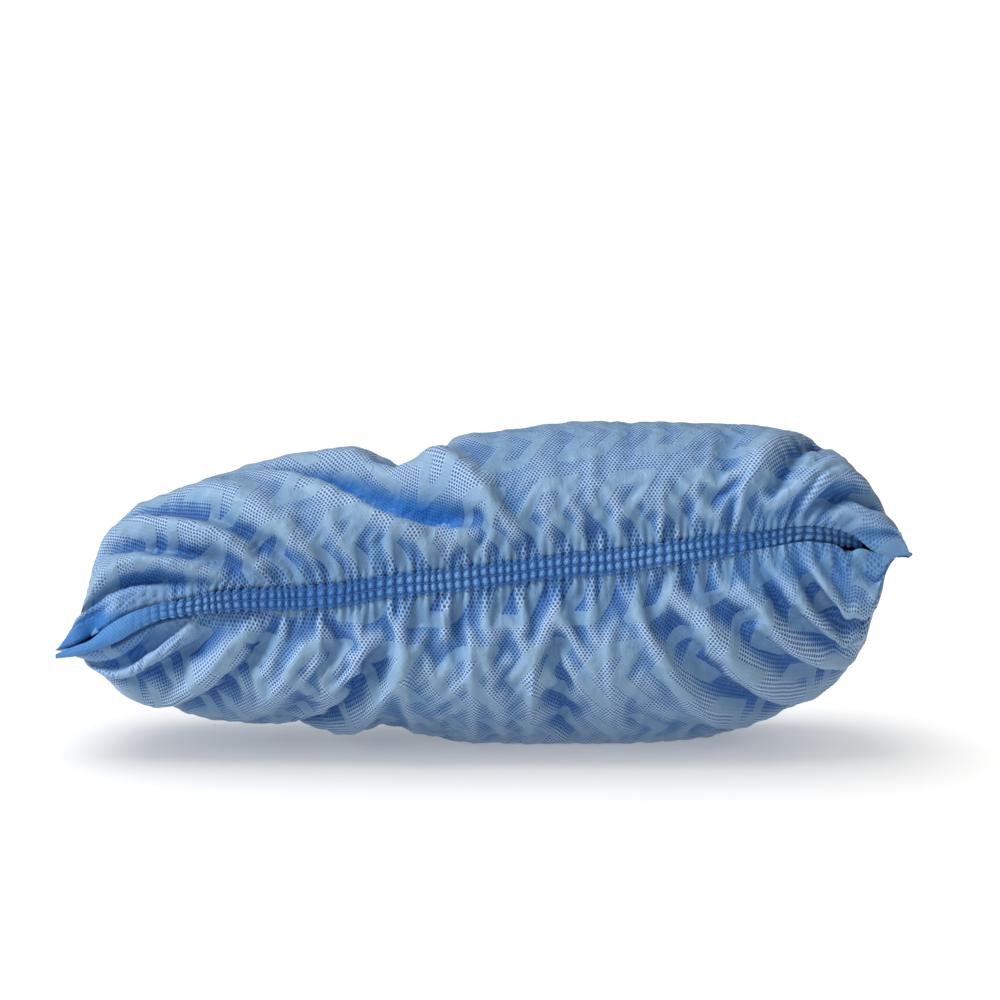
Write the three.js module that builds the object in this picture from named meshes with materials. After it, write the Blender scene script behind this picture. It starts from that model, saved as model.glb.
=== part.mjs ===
// Shoe cover: a disposable overshoe of nonwoven fabric. It lies on one lobe with its gathered
// opening to the front, as an empty, slightly open pouch. Millimetres, X along the length,
// Y to the back, Z up, and the origin on the floor under the middle of the cover.
//
// The cover is one sheet folded along the sole, which is the back of the pouch here. The upper
// and the lower half are sewn together at both ends and end at the front in two elastic hems.

import * as THREE from 'three';
import { mergeVertices } from 'three/addons/utils/BufferGeometryUtils.js';

// Driving sizes
const HALF_LENGTH = 160;
const WALL = 1.2; // fabric wall, at the least that a solid wall may be
const END_WALL = 2.4 * WALL; // wall measured along the length where both halves meet at a seam
const HEM_END = 0.9; // where a hem stops, as a share of the half length
const FLANGE_FROM = 0.17; // part of an end seam, from hem to sole, at which its flange starts
const FLANGE_TO = 0.97; // and at which it ends
const GAP = 0.35; // between neighbouring pieces
const HEM_WIDTH = 8; // elastic hem, across its rows of stitches
const HEM_THICKNESS = 2.4;
const SLIT = 7; // open height between the upper and the lower hem
const SEAM_WIDTH = 5.5; // overlocked flange outside an end seam
const SEAM_THICKNESS = 1.8;
const MOUTH = 0.19; // share of the half length over which the slit closes to a seam

// Fullness of the two halves. A lobe rises from its seam as (1 - |x|^power)^(1/root).
const LOBES = {
  upper: { side: 1, power: 7, root: 3 },
  lower: { side: -1, power: 4.5, root: 2.4 },
};
const SQUARENESS = 0.75; // below 1, a section is squarer than an ellipse
const BULGE_PEAK = 3.49; // makes the greatest value of sin a * cos(a)^4 equal to 1

// Sections across the length. Heights over the floor: band is the middle of the upper hem, sole
// the fold at the back, top and bottom the two lobes. Depths: valley is the front at the hems
// and back the sole. Bulges are how far each lobe stands forward of the valley.
const SECTIONS = [
  { x: -160, band: 41, sole: 46, top: 90, bottom: 6, valley: -27, back: 36, bulgeUp: 2, bulgeLow: 2 },
  { x: -140, band: 50, sole: 48, top: 98, bottom: 4, valley: -31, back: 39, bulgeUp: 3, bulgeLow: 3 },
  { x: -120, band: 57, sole: 50, top: 103, bottom: 3, valley: -33, back: 41, bulgeUp: 4, bulgeLow: 4 },
  { x: -100, band: 61, sole: 52, top: 106, bottom: 1.5, valley: -35, back: 42, bulgeUp: 4.5, bulgeLow: 5 },
  { x: -75, band: 63, sole: 54, top: 111, bottom: 0.8, valley: -36, back: 44, bulgeUp: 5, bulgeLow: 6 },
  { x: -50, band: 65, sole: 56, top: 114, bottom: 1.5, valley: -37, back: 45, bulgeUp: 5, bulgeLow: 7 },
  { x: -35, band: 67, sole: 57, top: 112, bottom: 7, valley: -38, back: 45, bulgeUp: 5, bulgeLow: 7 },
  { x: -10, band: 70, sole: 59, top: 116.5, bottom: -2, valley: -38, back: 45, bulgeUp: 5, bulgeLow: 8 },
  { x: 30, band: 74.5, sole: 61, top: 122.5, bottom: -3, valley: -38, back: 45, bulgeUp: 5, bulgeLow: 8 },
  { x: 70, band: 79, sole: 63, top: 122.5, bottom: -3, valley: -37, back: 45, bulgeUp: 5, bulgeLow: 8 },
  { x: 105, band: 83, sole: 64, top: 121.5, bottom: -1, valley: -35, back: 43, bulgeUp: 5, bulgeLow: 8 },
  { x: 130, band: 82.5, sole: 65, top: 119, bottom: 0, valley: -32, back: 40, bulgeUp: 4, bulgeLow: 6 },
  { x: 145, band: 79, sole: 65, top: 113, bottom: 0, valley: -30, back: 38, bulgeUp: 3, bulgeLow: 4 },
  { x: 160, band: 76.8, sole: 66, top: 108, bottom: 2, valley: -27, back: 37, bulgeUp: 2, bulgeLow: 2 },
];

// Plan of the two end seams, from the hem corner (part 0) to the sole (part 1).
const END_SEAMS = [
  { part: 0, left: -160, right: 160 },
  { part: 0.12, left: -152, right: 156 },
  { part: 0.3, left: -150, right: 152.5 },
  { part: 0.55, left: -148, right: 150 },
  { part: 0.8, left: -138, right: 140 },
  { part: 1, left: -124, right: 127 },
];

// Main dents (depth over 0) and ridges (under 0). A fold crosses its lobe from atHem, its x at
// the hem, to atCrown, its x halfway round the lobe. It starts and ends at the parts of the lobe
// given by from and to, counted from the hem (0) to the sole (1).
const FOLDS = [
  { name: 'saddle', lobe: 'upper', atHem: -26, atCrown: -26, width: 13, depth: 6, from: 0.3, to: 0.8 },
  { name: 'pocket', lobe: 'upper', atHem: 3, atCrown: -82, width: 8, depth: 8, from: 0.08, to: 0.5 },
  { name: 'pocket rim', lobe: 'upper', atHem: 16, atCrown: -34, width: 8, depth: -3, from: 0.05, to: 0.5 },
  { name: 'toe crease', lobe: 'upper', atHem: -98, atCrown: -158, width: 8, depth: 5, from: 0.02, to: 0.6 },
  { name: 'toe fold', lobe: 'upper', atHem: -84, atCrown: -124, width: 8, depth: 4, from: 0.02, to: 0.6 },
  { name: 'instep fold', lobe: 'upper', atHem: -62, atCrown: -84, width: 8, depth: 3, from: 0.02, to: 0.6 },
  { name: 'ankle fold', lobe: 'upper', atHem: 66, atCrown: 84, width: 8, depth: 2.5, from: 0.02, to: 0.5 },
  { name: 'heel fold', lobe: 'upper', atHem: 92, atCrown: 118, width: 8, depth: 3.5, from: 0.02, to: 0.5 },
  { name: 'heel crease', lobe: 'upper', atHem: 110, atCrown: 150, width: 7, depth: 4, from: 0.02, to: 0.5 },
  { name: 'lap', lobe: 'lower', atHem: -33, atCrown: -86, width: 8, depth: 5, from: 0.1, to: 0.6 },
  { name: 'lap edge', lobe: 'lower', atHem: -14, atCrown: -66, width: 9, depth: -3, from: 0.1, to: 0.6 },
  { name: 'toe hollow', lobe: 'lower', atHem: -104, atCrown: -146, width: 8, depth: 5, from: 0.02, to: 0.6 },
  { name: 'toe gather', lobe: 'lower', atHem: -84, atCrown: -112, width: 8, depth: 4, from: 0.02, to: 0.6 },
  { name: 'front gather', lobe: 'lower', atHem: -56, atCrown: -78, width: 8, depth: 3, from: 0.02, to: 0.4 },
  { name: 'pucker', lobe: 'lower', atHem: 26, atCrown: 30, width: 8, depth: 4, from: 0.1, to: 0.5 },
  { name: 'ankle gather', lobe: 'lower', atHem: 58, atCrown: 74, width: 8, depth: 3, from: 0.02, to: 0.5 },
  { name: 'heel gather', lobe: 'lower', atHem: 86, atCrown: 112, width: 8, depth: 4, from: 0.02, to: 0.6 },
  { name: 'heel hollow', lobe: 'lower', atHem: 110, atCrown: 140, width: 8, depth: 3, from: 0.02, to: 0.5 },
];

// Mesh steps
const STEPS_ALONG = 46;
const STEPS_ROUND = 19; // round one lobe, from its hem to the sole
const HEM_STEPS = 44;
const SEAM_STEPS = 16;
const NUDGE = 0.01; // step of part for a direction along a seam
const MERGE = 1e-4; // corners closer than this are one

const clamp = THREE.MathUtils.clamp;
const lerp = THREE.MathUtils.lerp;
const smooth = (value, low, high) => THREE.MathUtils.smoothstep(value, low, high);

// Reads one column of a table as a smooth curve through its rows.
function readTable(rows, key, column, at) {
  const last = rows.length - 1;
  let i = 0;
  while (i < last - 1 && at > rows[i + 1][key]) i += 1;
  const slope = (j) => {
    const before = rows[Math.max(j - 1, 0)];
    const after = rows[Math.min(j + 1, last)];
    return (after[column] - before[column]) / (after[key] - before[key]);
  };
  const span = rows[i + 1][key] - rows[i][key];
  const u = clamp((at - rows[i][key]) / span, 0, 1);
  const start = rows[i][column] * (1 + 2 * u) * (1 - u) ** 2 + slope(i) * span * u * (1 - u) ** 2;
  const end = rows[i + 1][column] * (3 - 2 * u) * u ** 2 - slope(i + 1) * span * (1 - u) * u ** 2;
  return start + end;
}

const section = (column, x) => readTable(SECTIONS, 'x', column, x);
const seamPlan = (column, part) => readTable(END_SEAMS, 'part', column, part);

// How far the slit is open at a place along the length, -1 to 1: 0 at the seams, 1 past the mouths.
const opening = (along) => Math.sqrt(clamp((1 - Math.abs(along)) / MOUTH, 0, 1));

// Depth of all the folds of a lobe at a point, inwards.
function foldDepth(lobe, x, part) {
  let depth = 0;
  for (const fold of FOLDS) {
    if (fold.lobe !== lobe) continue;
    const line = lerp(fold.atHem, fold.atCrown, Math.min(2 * part, 1));
    const across = Math.exp(-(((x - line) / fold.width) ** 2));
    const third = (fold.to - fold.from) / 3;
    const run = smooth(part, fold.from, fold.from + third) * (1 - smooth(part, fold.to - third, fold.to));
    depth += fold.depth * across * run;
  }
  return depth;
}

// A point of the sheet. along runs from the toe seam (-1) to the heel seam (1), part from the hem
// (0) to the sole (1) of the named lobe. inset is 0 on the outside and WALL on the inside.
function sheetPoint(lobe, along, part, inset) {
  const { side, power, root } = LOBES[lobe];
  const endInset = (inset / WALL) * END_WALL;
  const left = seamPlan('left', part) + endInset;
  const right = seamPlan('right', part) - endInset;
  const x = lerp(left, right, (along + 1) / 2);
  const angle = Math.PI * part;
  const back = (1 - Math.cos(angle)) / 2;
  const rise = Math.max(Math.sin(angle), 0) ** SQUARENESS;
  const fullness = Math.max(1 - Math.abs(along) ** power, 0) ** (1 / root);

  const middle = lerp(section('band', x), section('sole', x), back);
  const halfway = (section('band', x) + section('sole', x)) / 2;
  const crown = side > 0 ? section('top', x) - inset - halfway : halfway - section('bottom', x) - inset;
  const lip = (side > 0 ? HEM_WIDTH / 2 + GAP : HEM_WIDTH / 2 + SLIT) * opening(along);
  const height = lip * (1 - back) + (crown - lip / 2) * fullness * rise;

  const bulge = section(side > 0 ? 'bulgeUp' : 'bulgeLow', x) * fullness;
  const forward = part < 0.5 ? bulge * BULGE_PEAK * Math.sin(angle) * Math.cos(angle) ** 4 : 0;
  const y = lerp(section('valley', x) + inset, section('back', x) - inset, back) - forward;

  const centre = (section('valley', x) + section('back', x)) / 2;
  const inwards = new THREE.Vector3(0, centre - y, -side * height).normalize();
  const point = new THREE.Vector3(x, y, middle + side * height);
  point.addScaledVector(inwards, foldDepth(lobe, x, part) * fullness ** 2);
  point.z = Math.max(point.z, inset);
  return point;
}

// A closed mesh from a list of quads and triangles, with shared corners merged.
function closedGeometry(faces) {
  const corners = [];
  for (const [a, b, c, d] of faces) {
    corners.push(a, b, c);
    if (d) corners.push(a, c, d);
  }
  const soup = new THREE.BufferGeometry().setFromPoints(corners);
  const merged = mergeVertices(soup, MERGE);
  const index = merged.getIndex().array;
  const kept = [];
  for (let i = 0; i < index.length; i += 3) {
    const [a, b, c] = index.slice(i, i + 3);
    if (a !== b && b !== c && c !== a) kept.push(a, b, c);
  }
  merged.setIndex(kept);
  merged.computeVertexNormals();
  return merged;
}

// Steps from -1 to 1, closer together at both ends.
function alongSteps(count) {
  return Array.from({ length: count + 1 }, (_, i) => {
    const even = (2 * i) / count - 1;
    return (even + Math.sin((Math.PI * even) / 2)) / 2;
  });
}

// The sheet: an outer and an inner skin, both closed at the seams, joined along the two lips.
function shellGeometry() {
  const steps = alongSteps(STEPS_ALONG);
  const faces = [];
  const rows = { outer: {}, inner: {} };
  for (const lobe of Object.keys(LOBES)) {
    for (const [skin, inset] of [['outer', 0], ['inner', WALL]]) {
      rows[skin][lobe] = steps.map((along) => Array.from(
        { length: STEPS_ROUND + 1 },
        (_, j) => sheetPoint(lobe, along, j / STEPS_ROUND, inset),
      ));
    }
    for (let i = 0; i < STEPS_ALONG; i += 1) {
      const turned = lobe === 'lower';
      for (let j = 0; j < STEPS_ROUND; j += 1) {
        for (const skin of ['outer', 'inner']) {
          const grid = rows[skin][lobe];
          const quad = [grid[i][j], grid[i + 1][j], grid[i + 1][j + 1], grid[i][j + 1]];
          faces.push(turned === (skin === 'outer') ? quad.reverse() : quad);
        }
      }
      const outer = rows.outer[lobe];
      const inner = rows.inner[lobe];
      const lip = [outer[i][0], inner[i][0], inner[i + 1][0], outer[i + 1][0]];
      faces.push(turned ? lip.reverse() : lip);
    }
  }
  return closedGeometry(faces);
}

// A bar through a list of four-cornered sections, all turning the same way, with flat ends.
function barGeometry(sections) {
  const faces = [];
  for (let i = 0; i < sections.length - 1; i += 1) {
    for (let k = 0; k < 4; k += 1) {
      const next = (k + 1) % 4;
      faces.push([sections[i][k], sections[i][next], sections[i + 1][next], sections[i + 1][k]]);
    }
  }
  faces.push([...sections[0]].reverse(), sections[sections.length - 1]);
  return closedGeometry(faces);
}

// The four corners of a section in the plane across X.
function uprightSection(x, yFront, yBack, zLow, zHigh) {
  return [[yFront, zLow], [yBack, zLow], [yBack, zHigh], [yFront, zHigh]]
    .map(([y, z]) => new THREE.Vector3(x, y, z));
}

const hemSteps = () => Array.from({ length: HEM_STEPS + 1 }, (_, i) => HEM_END * ((2 * i) / HEM_STEPS - 1));

// The upper hem hangs in the valley, in line with the upper lip.
function upperHemGeometry() {
  return barGeometry(hemSteps().map((along) => {
    const x = along * HALF_LENGTH;
    const front = section('valley', x) - (HEM_THICKNESS - WALL) / 2;
    const half = (HEM_WIDTH / 2) * opening(along);
    return uprightSection(x, front, front + HEM_THICKNESS, section('band', x) - half, section('band', x) + half);
  }));
}

// The lower hem is turned in, and lies behind the lower lip like a ledge.
function lowerHemGeometry() {
  return barGeometry(hemSteps().map((along) => {
    const x = along * HALF_LENGTH;
    const front = section('valley', x) + WALL + GAP;
    const top = section('band', x) - (HEM_WIDTH / 2 + SLIT) * opening(along);
    return uprightSection(x, front, front + HEM_WIDTH * opening(along), top - HEM_THICKNESS, top);
  }));
}

// An end seam: a flange that follows the seam from near the hem corner to the sole.
function seamGeometry(column, outwards) {
  const place = (part) => {
    const x = seamPlan(column, part);
    const back = (1 - Math.cos(Math.PI * part)) / 2;
    const y = lerp(section('valley', x), section('back', x), back);
    return new THREE.Vector3(x, y, lerp(section('band', x), section('sole', x), back));
  };
  const sections = Array.from({ length: SEAM_STEPS + 1 }, (_, i) => {
    const part = lerp(FLANGE_FROM, FLANGE_TO, i / SEAM_STEPS);
    const ahead = place(part + NUDGE).sub(place(part - NUDGE)).setZ(0).normalize();
    const out = new THREE.Vector3(-ahead.y, ahead.x, 0).multiplyScalar(-outwards);
    const half = new THREE.Vector3(0, 0, SEAM_THICKNESS / 2);
    const inner = place(part).addScaledVector(out, GAP);
    const outer = inner.clone().addScaledVector(out, SEAM_WIDTH);
    const corners = [inner.clone().sub(half), outer.clone().sub(half), outer.add(half), inner.add(half)];
    return outwards > 0 ? corners.reverse() : corners;
  });
  return barGeometry(sections);
}

function fabric(color, roughness) {
  return new THREE.MeshStandardMaterial({ color, roughness, metalness: 0 });
}

function piece(name, geometry, material) {
  const mesh = new THREE.Mesh(geometry, material);
  mesh.name = name;
  return mesh;
}

const cover = new THREE.Group();
cover.add(
  piece('cover_shell', shellGeometry(), fabric(0x6f9fd8, 0.85)),
  piece('upper_hem', upperHemGeometry(), fabric(0x4f86cf, 0.8)),
  piece('lower_hem', lowerHemGeometry(), fabric(0x4f86cf, 0.8)),
  piece('toe_seam', seamGeometry('left', -1), fabric(0x1f66cc, 0.7)),
  piece('heel_seam', seamGeometry('right', 1), fabric(0x1f66cc, 0.7)),
);

// The origin comes under the middle of the cover.
const middle = new THREE.Box3().setFromObject(cover).getCenter(new THREE.Vector3());
cover.position.set(-middle.x, -middle.y, 0);

export default cover;
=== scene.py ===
"""Looks of a disposable shoe cover that lies on its side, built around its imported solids.

The cover is one printed spunbond sheet. It is folded along the sole, overlocked at the toe and
heel ends and gathered on elastic along both lips of its opening, which faces the front.
Units are metres unless a name says otherwise; X is the length, Y the depth, Z up.
"""

from __future__ import annotations

import logging
import math
from dataclasses import dataclass, field
from enum import Enum

import bpy
import numpy as np
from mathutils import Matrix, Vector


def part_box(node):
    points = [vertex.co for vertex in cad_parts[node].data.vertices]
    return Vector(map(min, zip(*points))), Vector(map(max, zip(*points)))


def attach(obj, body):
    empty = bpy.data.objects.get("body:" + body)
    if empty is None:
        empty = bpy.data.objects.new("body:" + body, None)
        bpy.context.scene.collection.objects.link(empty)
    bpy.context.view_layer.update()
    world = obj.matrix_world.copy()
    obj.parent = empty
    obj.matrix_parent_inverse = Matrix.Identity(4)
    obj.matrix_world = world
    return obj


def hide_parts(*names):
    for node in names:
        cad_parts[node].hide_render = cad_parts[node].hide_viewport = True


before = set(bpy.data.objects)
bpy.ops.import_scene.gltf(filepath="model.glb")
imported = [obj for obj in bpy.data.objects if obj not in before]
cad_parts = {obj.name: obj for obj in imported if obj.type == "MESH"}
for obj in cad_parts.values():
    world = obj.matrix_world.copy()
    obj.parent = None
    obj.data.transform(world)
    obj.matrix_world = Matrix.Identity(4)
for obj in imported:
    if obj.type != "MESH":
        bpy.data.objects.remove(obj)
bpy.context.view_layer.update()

log = logging.getLogger("shoe_cover")
MM = 0.001
Table = dict[str, list[float]]


class Lobe(Enum):
    """The two halves of the pouch; the value is the side of the seam plane that a half is on."""

    UPPER = 1
    LOWER = -1


# ---------------------------------------------------------------------------------------------
# Arithmetic shared by the surfaces
# ---------------------------------------------------------------------------------------------


def columns(names: str, rows: list[tuple[float, ...]]) -> Table:
    """Turn rows of numbers into named columns.

    Args:
        names: Column names, separated by spaces.
        rows: One tuple for each row.

    Returns:
        A dictionary from column name to list.
    """
    return {name: [row[i] for row in rows] for i, name in enumerate(names.split())}


def read_table(table: Table, key: str, column: str, at: np.ndarray) -> np.ndarray:
    """Read a column as a smooth curve: cubic Hermite pieces whose slopes are central differences.

    Args:
        table: Named columns.
        key: The column that holds the places of the rows.
        column: The column to read.
        at: Places to read it at.

    Returns:
        The values, in the shape of at.
    """
    places = np.array(table[key], float)
    values = np.array(table[column], float)
    ahead = np.minimum(np.arange(len(places)) + 1, len(places) - 1)
    behind = np.maximum(np.arange(len(places)) - 1, 0)
    slopes = (values[ahead] - values[behind]) / (places[ahead] - places[behind])
    i = np.clip(np.searchsorted(places, at, side="right") - 1, 0, len(places) - 2)
    span = places[i + 1] - places[i]
    u = np.clip((at - places[i]) / span, 0, 1)
    start = values[i] * (1 + 2 * u) * (1 - u) ** 2 + slopes[i] * span * u * (1 - u) ** 2
    end = values[i + 1] * (3 - 2 * u) * u**2 - slopes[i + 1] * span * (1 - u) * u**2
    return start + end


def smoothstep(value: np.ndarray, low: float, high: float) -> np.ndarray:
    """Rise from 0 at low to 1 at high along 3 u^2 - 2 u^3."""
    u = np.clip((value - low) / (high - low), 0, 1)
    return u * u * (3 - 2 * u)


def mix(a: np.ndarray | float, b: np.ndarray | float, share: np.ndarray | float) -> np.ndarray:
    """Go from a to b by the given share."""
    return a + (b - a) * share


def waves(x: np.ndarray, y: np.ndarray, pitch: float, seed: int, count: int = 7) -> np.ndarray:
    """Smooth noise: a sum of sine waves of about the given pitch, in directions and phases drawn once.

    Args:
        x: First coordinate.
        y: Second coordinate.
        pitch: Typical wavelength, in the coordinates' own unit.
        seed: Picks the directions and phases.
        count: Number of sine waves.

    Returns:
        Values of about -1 to 1, in the shape of x.
    """
    draw = np.random.default_rng(seed)
    total = np.zeros(np.broadcast(x, y).shape)
    for _ in range(count):
        turn = draw.uniform(0, math.pi)
        length = pitch * draw.uniform(0.7, 1.5)
        phase = draw.uniform(0, 2 * math.pi)
        total += np.sin(2 * math.pi * (x * math.cos(turn) + y * math.sin(turn)) / length + phase)
    return total / math.sqrt(count)


def grid_normals(grid: np.ndarray) -> np.ndarray:
    """Work out unit normals of a grid surface: the cross product of its two central differences.

    Args:
        grid: Points of shape (n, m, 3).

    Returns:
        Unit vectors, in the shape of grid.
    """
    along = np.gradient(grid, axis=0)
    across = np.gradient(grid, axis=1)
    normal = np.cross(along, across)
    return normal / np.maximum(np.linalg.norm(normal, axis=2, keepdims=True), 1e-9)


def smoothed(grid: np.ndarray, *windows: tuple[int, int]) -> np.ndarray:
    """Average a grid over windows, one after the other, by differences of running sums.

    Args:
        grid: Values; the lines beyond its edges repeat the edge.
        windows: An axis and a reach each, for a window of 2 reach + 1 lines along that axis.

    Returns:
        The means, in the shape of grid.
    """
    for axis, reach in windows:
        moved, size = np.moveaxis(grid, axis, 0), 2 * reach + 1
        padded = np.concatenate([np.repeat(moved[:1], reach + 1, 0), moved, np.repeat(moved[-1:], reach, 0)])
        sums = np.cumsum(padded, axis=0)
        grid = np.moveaxis((sums[size:] - sums[:-size]) / size, 0, axis)
    return grid


def window_max(grid: np.ndarray, reach: int, axis: int) -> np.ndarray:
    """Take the largest value of a grid in windows of lines along one axis.

    Args:
        grid: Values; the lines beyond its edges repeat the edge.
        reach: Lines of the window on each side of its middle.
        axis: The axis that it lies along.

    Returns:
        The largest values, in the shape of grid.
    """
    moved = np.moveaxis(grid, axis, 0)
    padded = np.concatenate([np.repeat(moved[:1], reach, 0), moved, np.repeat(moved[-1:], reach, 0)])
    shifted = [padded[first : first + len(moved)] for first in range(2 * reach + 1)]
    return np.moveaxis(np.max(shifted, axis=0), 0, axis)


def sew_ends(grid: np.ndarray) -> None:
    """Bring the two halves of a sheet's first and last line together, in place."""
    for edge in (0, -1):
        grid[edge] = (grid[edge] + grid[edge, ::-1]) / 2


def resample(grid: np.ndarray, rows: np.ndarray, cols: np.ndarray) -> np.ndarray:
    """Read a grid at fractional indices by Catmull-Rom interpolation, first along one axis, then the other.

    Args:
        grid: Values of shape (n, m, k).
        rows: Fractional indices along the first axis.
        cols: Fractional indices along the second axis.

    Returns:
        Values of shape (len(rows), len(cols), k).
    """

    def weights(at: np.ndarray, count: int) -> np.ndarray:
        """Share each place out over the four lines around it: Catmull-Rom's cubic weights."""
        whole = np.clip(np.floor(at).astype(int), 0, count - 2)
        u = at - whole
        parts = (
            (-1, (-u + 2 * u**2 - u**3) / 2),
            (0, (2 - 5 * u**2 + 3 * u**3) / 2),
            (1, (u + 4 * u**2 - 3 * u**3) / 2),
            (2, (-(u**2) + u**3) / 2),
        )
        matrix = np.zeros((len(at), count))
        for shift, weight in parts:
            np.add.at(matrix, (np.arange(len(at)), np.clip(whole + shift, 0, count - 1)), weight)
        return matrix

    halfway = np.tensordot(weights(rows, grid.shape[0]), grid, axes=(1, 0))
    return np.einsum("jm,imk->ijk", weights(cols, grid.shape[1]), halfway, optimize=True)


# ---------------------------------------------------------------------------------------------
# Meshes
# ---------------------------------------------------------------------------------------------


def make_object(
    name: str, points: np.ndarray, faces: list[np.ndarray], smooth: bool = True
) -> bpy.types.Object:
    """Put points and faces into a new mesh object at the origin.

    Args:
        name: Name of the object.
        points: Vertices, shape (n, 3), in metres.
        faces: Arrays of vertex indices, each of shape (count, corners).
        smooth: Shade the faces smooth.

    Returns:
        The object, linked to the scene.
    """
    mesh = bpy.data.meshes.new(name)
    corners = np.concatenate([f.ravel() for f in faces])
    totals = np.concatenate([np.full(len(f), f.shape[1]) for f in faces])
    mesh.vertices.add(len(points))
    mesh.vertices.foreach_set("co", np.ascontiguousarray(points, np.float32).ravel())
    mesh.loops.add(len(corners))
    mesh.loops.foreach_set("vertex_index", corners.astype(np.int32))
    mesh.polygons.add(len(totals))
    mesh.polygons.foreach_set("loop_start", (np.cumsum(totals) - totals).astype(np.int32))
    mesh.polygons.foreach_set("use_smooth", np.full(len(totals), smooth))
    mesh.update(calc_edges=True)
    mesh.validate()
    obj = bpy.data.objects.new(name, mesh)
    bpy.context.scene.collection.objects.link(obj)
    return obj


def add_uv(obj: bpy.types.Object, name: str, corner_uv: np.ndarray) -> None:
    """Give a mesh a UV map from one (u, v) pair for each face corner."""
    layer = obj.data.uv_layers.new(name=name)
    layer.data.foreach_set("uv", np.ascontiguousarray(corner_uv, np.float32).ravel())


def add_value(obj: bpy.types.Object, name: str, values: np.ndarray) -> None:
    """Give a mesh a named value for each vertex."""
    attribute = obj.data.attributes.new(name, "FLOAT", "POINT")
    attribute.data.foreach_set("value", np.ascontiguousarray(values, np.float32).ravel())


def tube_batch(paths: np.ndarray, radius: float) -> tuple[np.ndarray, np.ndarray]:
    """Carry a square section along many open paths at once and close each end with one quad.

    The section's two axes are the cross products of the path's direction with a fixed vector. It
    is smaller at the two ends of a path.

    Args:
        paths: Points of shape (tubes, steps, 3).
        radius: Distance of the section's corners from the path.

    Returns:
        Vertices of shape (n, 3) and quads of shape (m, 4).
    """
    sides, end_size = 4, 0.45
    count, steps, _ = paths.shape
    ahead = np.gradient(paths, axis=1)
    ahead /= np.maximum(np.linalg.norm(ahead, axis=2, keepdims=True), 1e-9)
    fixed = np.where(np.abs(ahead[..., 2:3]) > 0.8, np.array([1.0, 0, 0]), np.array([0, 0, 1.0]))
    first = np.cross(ahead, fixed)
    first /= np.maximum(np.linalg.norm(first, axis=2, keepdims=True), 1e-9)
    second = np.cross(ahead, first)
    turn = 2 * math.pi * np.arange(sides) / sides
    swell = np.full(steps, radius)
    swell[[0, -1]] *= end_size
    ring = first[:, :, None] * np.cos(turn)[:, None] + second[:, :, None] * np.sin(turn)[:, None]
    points = paths[:, :, None] + ring * swell[:, None, None]
    index = np.arange(count * steps * sides).reshape(count, steps, sides)
    turned = np.roll(index, -1, axis=2)
    sheath = np.stack([index[:, :-1], turned[:, :-1], turned[:, 1:], index[:, 1:]], axis=-1).reshape(-1, 4)
    caps = np.concatenate([index[:, 0][:, ::-1], index[:, -1]])
    return points.reshape(-1, 3), np.concatenate([sheath, caps])


# ---------------------------------------------------------------------------------------------
# The form of the cover
# ---------------------------------------------------------------------------------------------


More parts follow.
